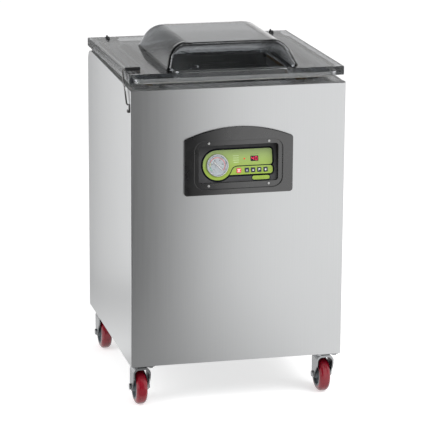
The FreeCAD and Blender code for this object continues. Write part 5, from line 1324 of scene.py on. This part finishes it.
class SEALER_OT_chamber(SealerPiece, bpy.types.Operator):
    """Seal bars with their tape and end caps, lift gear, filler plate and suction port with its guard"""

    bl_idname = "sealer.chamber"
    bl_label = "Chamber fittings"

    def execute(self, context):
        wear_finish(brushed_steel("bar_aluminium", (0.74, 0.74, 0.75), (400.0, 6.0, 400.0), 0.3, 0.42),
                    "left_seal_bar", "right_seal_bar", "lift_cylinders")
        wear_finish(plated_steel("pin_steel", (0.72, 0.72, 0.73)),
                    "left_lift_pins", "right_lift_pins", "vacuum_port")
        wear_finish(moulded("filler_white", (0.80, 0.80, 0.77), 0.4, 0.5, 0.03 * MM, 900.0, wear_and_highlight=0.0),
                    "filler_plate")
        tape = self.woven_tape()
        black = moulded("cap_black", (0.012, 0.012, 0.012))
        brass = plated_steel("terminal_brass", (0.70, 0.52, 0.24))
        for bar in ("left", "right"):
            self.seal_tape(bar, tape)
            self.end_caps(bar, black, brass)
        self.port_guard()
        return {"FINISHED"}

    def woven_tape(self):
        """Tan glass cloth with a non-stick face."""
        made = Finish("seal_tape")
        warp = made.noise(1.0, stretch=(2600.0, 260.0, 2600.0), detail=1.0)
        weft = made.noise(1.0, stretch=(260.0, 2600.0, 260.0), detail=1.0)
        cloth = made.blend(warp, (0.30, 0.19, 0.09), (0.46, 0.32, 0.17))
        made.paint(made.flecked(weft, cloth, (0.22, 0.13, 0.06), 0.5))
        made.gloss(warp, 0.3, 0.45)
        made.relief(weft, 0.04 * MM, 0.3)
        return made.material

    def seal_tape(self, bar, material):
        """Tape laid over the bar's rounded top and down its sides."""
        shoulder, lift, thick = 4.0 * MM, 0.11 * MM, 0.12 * MM
        skirt, end_gap = 11.0 * MM, 2.0 * MM
        low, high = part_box(bar + "_seal_bar")
        middle = (low.x + high.x) / 2
        inner = (high.x - low.x) / 2 - shoulder
        bend = shoulder + lift
        turns = [math.radians(angle) for angle in range(0, 91, 18)]
        arc = [(inner + bend * math.sin(turn), high.z - shoulder + bend * math.cos(turn)) for turn in turns]
        right = arc + [(arc[-1][0], high.z - skirt)]
        outline = [(-x, z) for x, z in reversed(right)] + right
        tape = chain(bar + "_bar_tape", [(middle + x, low.y + end_gap, z) for x, z in outline])
        bpy.ops.mesh.select_mode(type="EDGE")
        pick_all()
        extrude((0.0, high.y - low.y - 2 * end_gap, 0.0))
        done()
        modified(tape, "SOLIDIFY", thickness=thick, offset=0.0)
        fitted(smoothed(tape), bar + "_bar", material)

    def end_caps(self, bar, black, brass):
        """Cap on each end of the bar, and the terminal screw that holds the sealing wire."""
        half, tall, below_top, deep = 9.0 * MM, 20.0 * MM, 1.2 * MM, 6.0 * MM
        cap_gap, cap_round, washer, screw_down = 0.1 * MM, 1.2 * MM, 0.9 * MM, 10.0 * MM
        low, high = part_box(bar + "_seal_bar")
        middle = (low.x + high.x) / 2
        caps = []
        screws = []
        for end, way in ((low.y, -1.0), (high.y, 1.0)):
            near = end + way * cap_gap
            far = end + way * deep
            caps.append(soft_block("cap", (middle - half, min(near, far), high.z - tall),
                                   (middle + half, max(near, far), high.z - below_top), cap_round))
            screws.append(facing((middle, far + way * washer, high.z - screw_down), (0.0, way, 0.0)))
        fitted(joined(bar + "_bar_caps", caps), bar + "_bar", black)
        terminals = repeated(bar + "_bar_terminals", turned("terminal", TERMINAL_SCREW), screws)
        fitted(terminals, bar + "_bar", brass)

    def port_guard(self):
        """Ring with a cross in the mouth of the suction port."""
        bar_length, bar_width, bar_thick, bar_base = 17.6 * MM, 1.6 * MM, 1.4 * MM, 0.3 * MM
        setback = 3.4 * MM
        ring = turned("ring", PORT_RING)
        bars = [print_bar(0.0, 0.0, bar_length, bar_width, bar_thick, bar_base, turn, 0.2)
                for turn in (0.0, math.pi / 2)]
        guard = joined("port_guard", [ring] + bars)
        middle = middle_of("vacuum_port")
        settle(guard, facing((middle.x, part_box("vacuum_port")[0].y + setback, middle.z), FRONT))
        fitted(guard, "cabinet", plated_steel("guard_steel", (0.66, 0.66, 0.67)))


class SEALER_OT_machinery(SealerPiece, bpy.types.Operator):
    """Pump, motor, hose, transformer, valves and board parts inside the cabinet"""

    bl_idname = "sealer.machinery"
    bl_label = "Machinery"

    def execute(self, context):
        wear_finish(cast_metal("cast_alloy", (0.45, 0.46, 0.48)), "vacuum_pump")
        wear_finish(painted("motor_enamel", (0.10, 0.13, 0.16), 0.34, 0.46, 0.08 * MM), "pump_motor")
        wear_finish(rubber("hose_rubber", (0.02, 0.02, 0.02)), "vacuum_hose")
        wear_finish(self.wound_core(), "transformer")
        wear_finish(self.valves(), "valve_block")
        black = moulded("fitting_black", (0.014, 0.014, 0.015))
        zinc = plated_steel("fitting_zinc", (0.70, 0.70, 0.71))
        self.motor_fittings(black, zinc)
        self.pump_fittings(black, zinc)
        self.hose_clamp(zinc)
        self.transformer_fittings(black, zinc)
        self.valve_plugs(black)
        self.board_parts(black)
        return {"FINISHED"}

    def wound_core(self):
        """Stacked iron sheets, with amber tape where the coil stands out of them."""
        proud, edge = 13.0 * MM, 0.2 * MM
        made = Finish("wound_core")
        low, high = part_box("transformer")
        front = made.along(FRONT, -low.y - proud, -low.y - proud + edge)
        rear = made.along(REAR, high.y - proud, high.y - proud + edge)
        sheets = made.noise(1.0, stretch=(4.0, 1800.0, 4.0), detail=2.0)
        iron = made.blend(sheets, (0.05, 0.05, 0.055), (0.13, 0.13, 0.14))
        turns = made.noise(1.0, stretch=(6.0, 6.0, 420.0), detail=1.0)
        tape = made.blend(turns, (0.36, 0.22, 0.04), (0.52, 0.34, 0.08))
        made.paint(made.blend(made.total(front, rear), iron, tape))
        made.gloss(sheets, 0.36, 0.6)
        made.relief(made.total(sheets, turns), 0.15 * MM, 0.4)
        return made.material

    def valves(self):
        """Brass manifold under black moulded coils, with painted shade in its corners."""
        coil_tall, edge = 42.0 * MM, 0.1 * MM
        made = Finish("valve_brass")
        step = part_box("valve_block")[1].z - coil_tall
        coil = made.along(UP, step - edge, step + edge)
        cloud = made.noise(60.0, detail=4.0)
        brass = made.blend(cloud, (0.56, 0.40, 0.16), (0.72, 0.54, 0.25))
        made.paint(made.hollow_shade(made.blend(coil, brass, (0.016, 0.016, 0.017)), 20 * MM, 0.5))
        made.put("Metallic", made.spread(coil, 0.0, 1.0, 1.0, 0.0))
        made.gloss(cloud, 0.26, 0.42)
        return made.material

    def motor_fittings(self, black, zinc):
        """Terminal box on top of the motor, and a wire grille at its fan end."""
        sunk, box_size, cover_size = mm(0.0, 0.0, 4.0), mm(84.0, 60.0, 40.0), mm(88.0, 64.0, 5.0)
        seat = top_of("pump_motor") - sunk
        box = standing_block("box", seat, box_size, 4.0 * MM)
        cover = standing_block("cover", seat + box_size.z * Vector(UP), cover_size, 1.5 * MM)
        fitted(joined("motor_terminal_box", [box, cover]), "cabinet", black)
        wire, wire_sides, ring_radii = 1.5, 6, (18.0, 36.0, 54.0, 70.0)
        wires = []
        for radius in ring_radii:
            turns = [corner * 2 * math.pi / wire_sides for corner in range(wire_sides + 1)]
            outline = [(radius + wire * math.cos(turn), wire * math.sin(turn)) for turn in turns]
            wires.append(turned("wire", outline, 40))
        bar_length, bar_thick, bar_base = 140.0 * MM, 2.4 * MM, -3.6 * MM
        for step in range(4):
            turn = step * math.pi / 4
            wires.append(print_bar(0.0, 0.0, bar_length, bar_thick, bar_thick, bar_base, turn, 0.3))
        grille = joined("fan_grille", wires)
        low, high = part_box("pump_motor")
        fan_top = Vector((high.x, (low.y + high.y) / 2, high.z))
        grille_offset = mm(4.0, 0.0, -79.0)
        settle(grille, facing(fan_top + grille_offset, RIGHT))
        fitted(grille, "cabinet", zinc)

    def pump_fittings(self, black, zinc):
        """Oil filler cap on the pump's top, and a sight glass in its left end."""
        grip_radius, grips = 15.5 * MM, 32
        grip_margin, grip_deep = 0.3 * MM, 1.2 * MM
        cap_offset, glass_up = mm(40.0, -45.0, -30.0), 80.0 * MM
        low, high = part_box("vacuum_pump")
        centre_y = middle_of("pump_motor").y

        def on_grip(middle, normal):
            place = math.floor(math.atan2(middle.y, middle.x) / (2 * math.pi / grips))
            return abs(normal.z) < 0.2 and middle.xy.length > grip_radius and place % 2 == 0

        cap = turned("oil_cap", OIL_CAP)
        edit(cap)
        pick_faces(cap, on_grip)
        bpy.ops.mesh.inset(thickness=grip_margin, use_individual=True)
        bpy.ops.mesh.extrude_faces_move(TRANSFORM_OT_shrink_fatten={"value": -grip_deep})
        done()
        settle(cap, Matrix.Translation(Vector((low.x, centre_y, high.z)) + cap_offset))
        fitted(cap, "cabinet", black)
        glass_place = facing((low.x, centre_y, low.z + glass_up), LEFT)
        ring = turned("oil_glass_ring", OIL_RING)
        settle(ring, glass_place)
        fitted(ring, "cabinet", zinc)
        lens = turned("oil_glass", OIL_LENS)
        settle(lens, glass_place)
        made = Finish("oil_amber", IOR=1.47)
        made.paint(made.blend(made.noise(90.0), (0.50, 0.26, 0.04), (0.66, 0.38, 0.08)))
        made.gloss(made.noise(300.0), 0.05, 0.15)
        fitted(lens, "cabinet", made.material)

    def hose_clamp(self, zinc):
        """Band and screw housing on the hose, above the pump's inlet."""
        low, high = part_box("vacuum_hose")
        radius = (high.x - low.x) / 2 / MM
        inner, outer, half = radius + 0.05, radius + 0.9, 5.0
        outline = ((inner, -half), (outer, -half), (outer, half), (inner, half), (inner, -half))
        band = turned("band", outline, 40)
        reach = radius + 0.7
        housing = soft_block("housing", mm(reach, -6.0, -4.5), mm(reach + 7.0, 6.0, 4.5), 1.4 * MM)
        screw = turned("screw", CLAMP_SCREW, 6)
        settle(screw, facing(mm(reach + 3.6, -6.0, 0.0), FRONT))
        clamp = joined("hose_clamp", [band, housing, screw])
        settle(clamp, Matrix.Translation(((low.x + high.x) / 2, high.y - radius * MM, low.z + 14.0 * MM)))
        fitted(clamp, "cabinet", zinc)

    def transformer_fittings(self, black, zinc):
        """Terminal strip with screws on the transformer."""
        seat = top_of("transformer")
        wide, deep, tall, pitch = 72.0, 22.0, 12.0, 16.0
        strip = standing_block("transformer_strip", seat, mm(wide, deep, tall), 1.5 * MM)
        fitted(strip, "cabinet", black)
        places = [Matrix.Translation(seat + mm(step * pitch, 0.0, tall)) for step in (-1.5, -0.5, 0.5, 1.5)]
        studs = repeated("transformer_studs", turned("stud", TERMINAL_STUD, 24), places)
        fitted(studs, "cabinet", zinc)

    def valve_plugs(self, black):
        """Plug on the front of each valve coil."""
        low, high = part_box("valve_block")
        plug_low, plug_high, plug_round = mm(-9.0, -2.0, -34.0), mm(9.0, 12.0, -8.0), 2.5 * MM
        plugs = []
        for share in (0.25, 0.75):
            edge = Vector((low.x + share * (high.x - low.x), low.y, high.z))
            plugs.append(soft_block("plug", edge + plug_low, edge + plug_high, plug_round))
        fitted(joined("valve_plugs", plugs), "cabinet", black)

    def board_parts(self, black):
        """Relays, plug rows and capacitors on the back of the circuit board."""
        corner = on_fascia("control_board")[0]
        block_round = 0.8 * MM
        can_columns, can_row = (90.0, 104.0, 20.0), 42.0
        blocks = [soft_block("block", corner + mm(x, y, -deep), corner + mm(x + wide, y + tall, 0.0),
                             block_round)
                  for x, y, wide, tall, deep in BOARD_BLOCKS]
        fitted_on_fascia("board_relays", blocks, "cabinet", black)
        places = [facing(corner + mm(x, can_row, 0.0), DOWN) for x in can_columns]
        cans = repeated("board_capacitors", turned("can", CAPACITOR, 24), places)
        sleeve = painted("capacitor_sleeve", (0.02, 0.035, 0.10))
        fitted_on_fascia("board_capacitors", [cans], "cabinet", sleeve)


class SEALER_PT_panel(bpy.types.Panel):
    """Lists the settings and the pieces in the 3D view's sidebar"""

    bl_idname = "SEALER_PT_panel"
    bl_label = "Vacuum sealer"
    bl_space_type = "VIEW_3D"
    bl_region_type = "UI"
    bl_category = "Sealer"

    def draw(self, context):
        for group in (context.scene.sealer_stage, context.scene.sealer_finish, context.scene.sealer_detail):
            column = self.layout.column(align=True)
            for name in group.__annotations__:
                column.prop(group, name)
        for operator in OPERATORS:
            self.layout.operator(operator.bl_idname)


OPERATORS = (
    SEALER_OT_stage, SEALER_OT_cabinet, SEALER_OT_lid, SEALER_OT_controls, SEALER_OT_screws,
    SEALER_OT_casters, SEALER_OT_chamber, SEALER_OT_machinery,
)
GROUPS = (("sealer_stage", SealerStage), ("sealer_finish", SealerFinish), ("sealer_detail", SealerDetail))


def register():
    for name, group in GROUPS:
        bpy.utils.register_class(group)
        setattr(bpy.types.Scene, name, bpy.props.PointerProperty(type=group))
    for operator in OPERATORS:
        bpy.utils.register_class(operator)
    bpy.utils.register_class(SEALER_PT_panel)


def unregister():
    bpy.utils.unregister_class(SEALER_PT_panel)
    for operator in reversed(OPERATORS):
        bpy.utils.unregister_class(operator)
    for name, group in reversed(GROUPS):
        delattr(bpy.types.Scene, name)
        bpy.utils.unregister_class(group)


def main():
    register()
    bpy.ops.object.select_all(action="DESELECT")
    bpy.ops.sealer.stage()
    bpy.ops.sealer.cabinet()
    bpy.ops.sealer.lid()
    bpy.ops.sealer.controls()
    bpy.ops.sealer.screws()
    bpy.ops.sealer.casters()
    bpy.ops.sealer.chamber()
    bpy.ops.sealer.machinery()


if __name__ == "__main__":
    main()
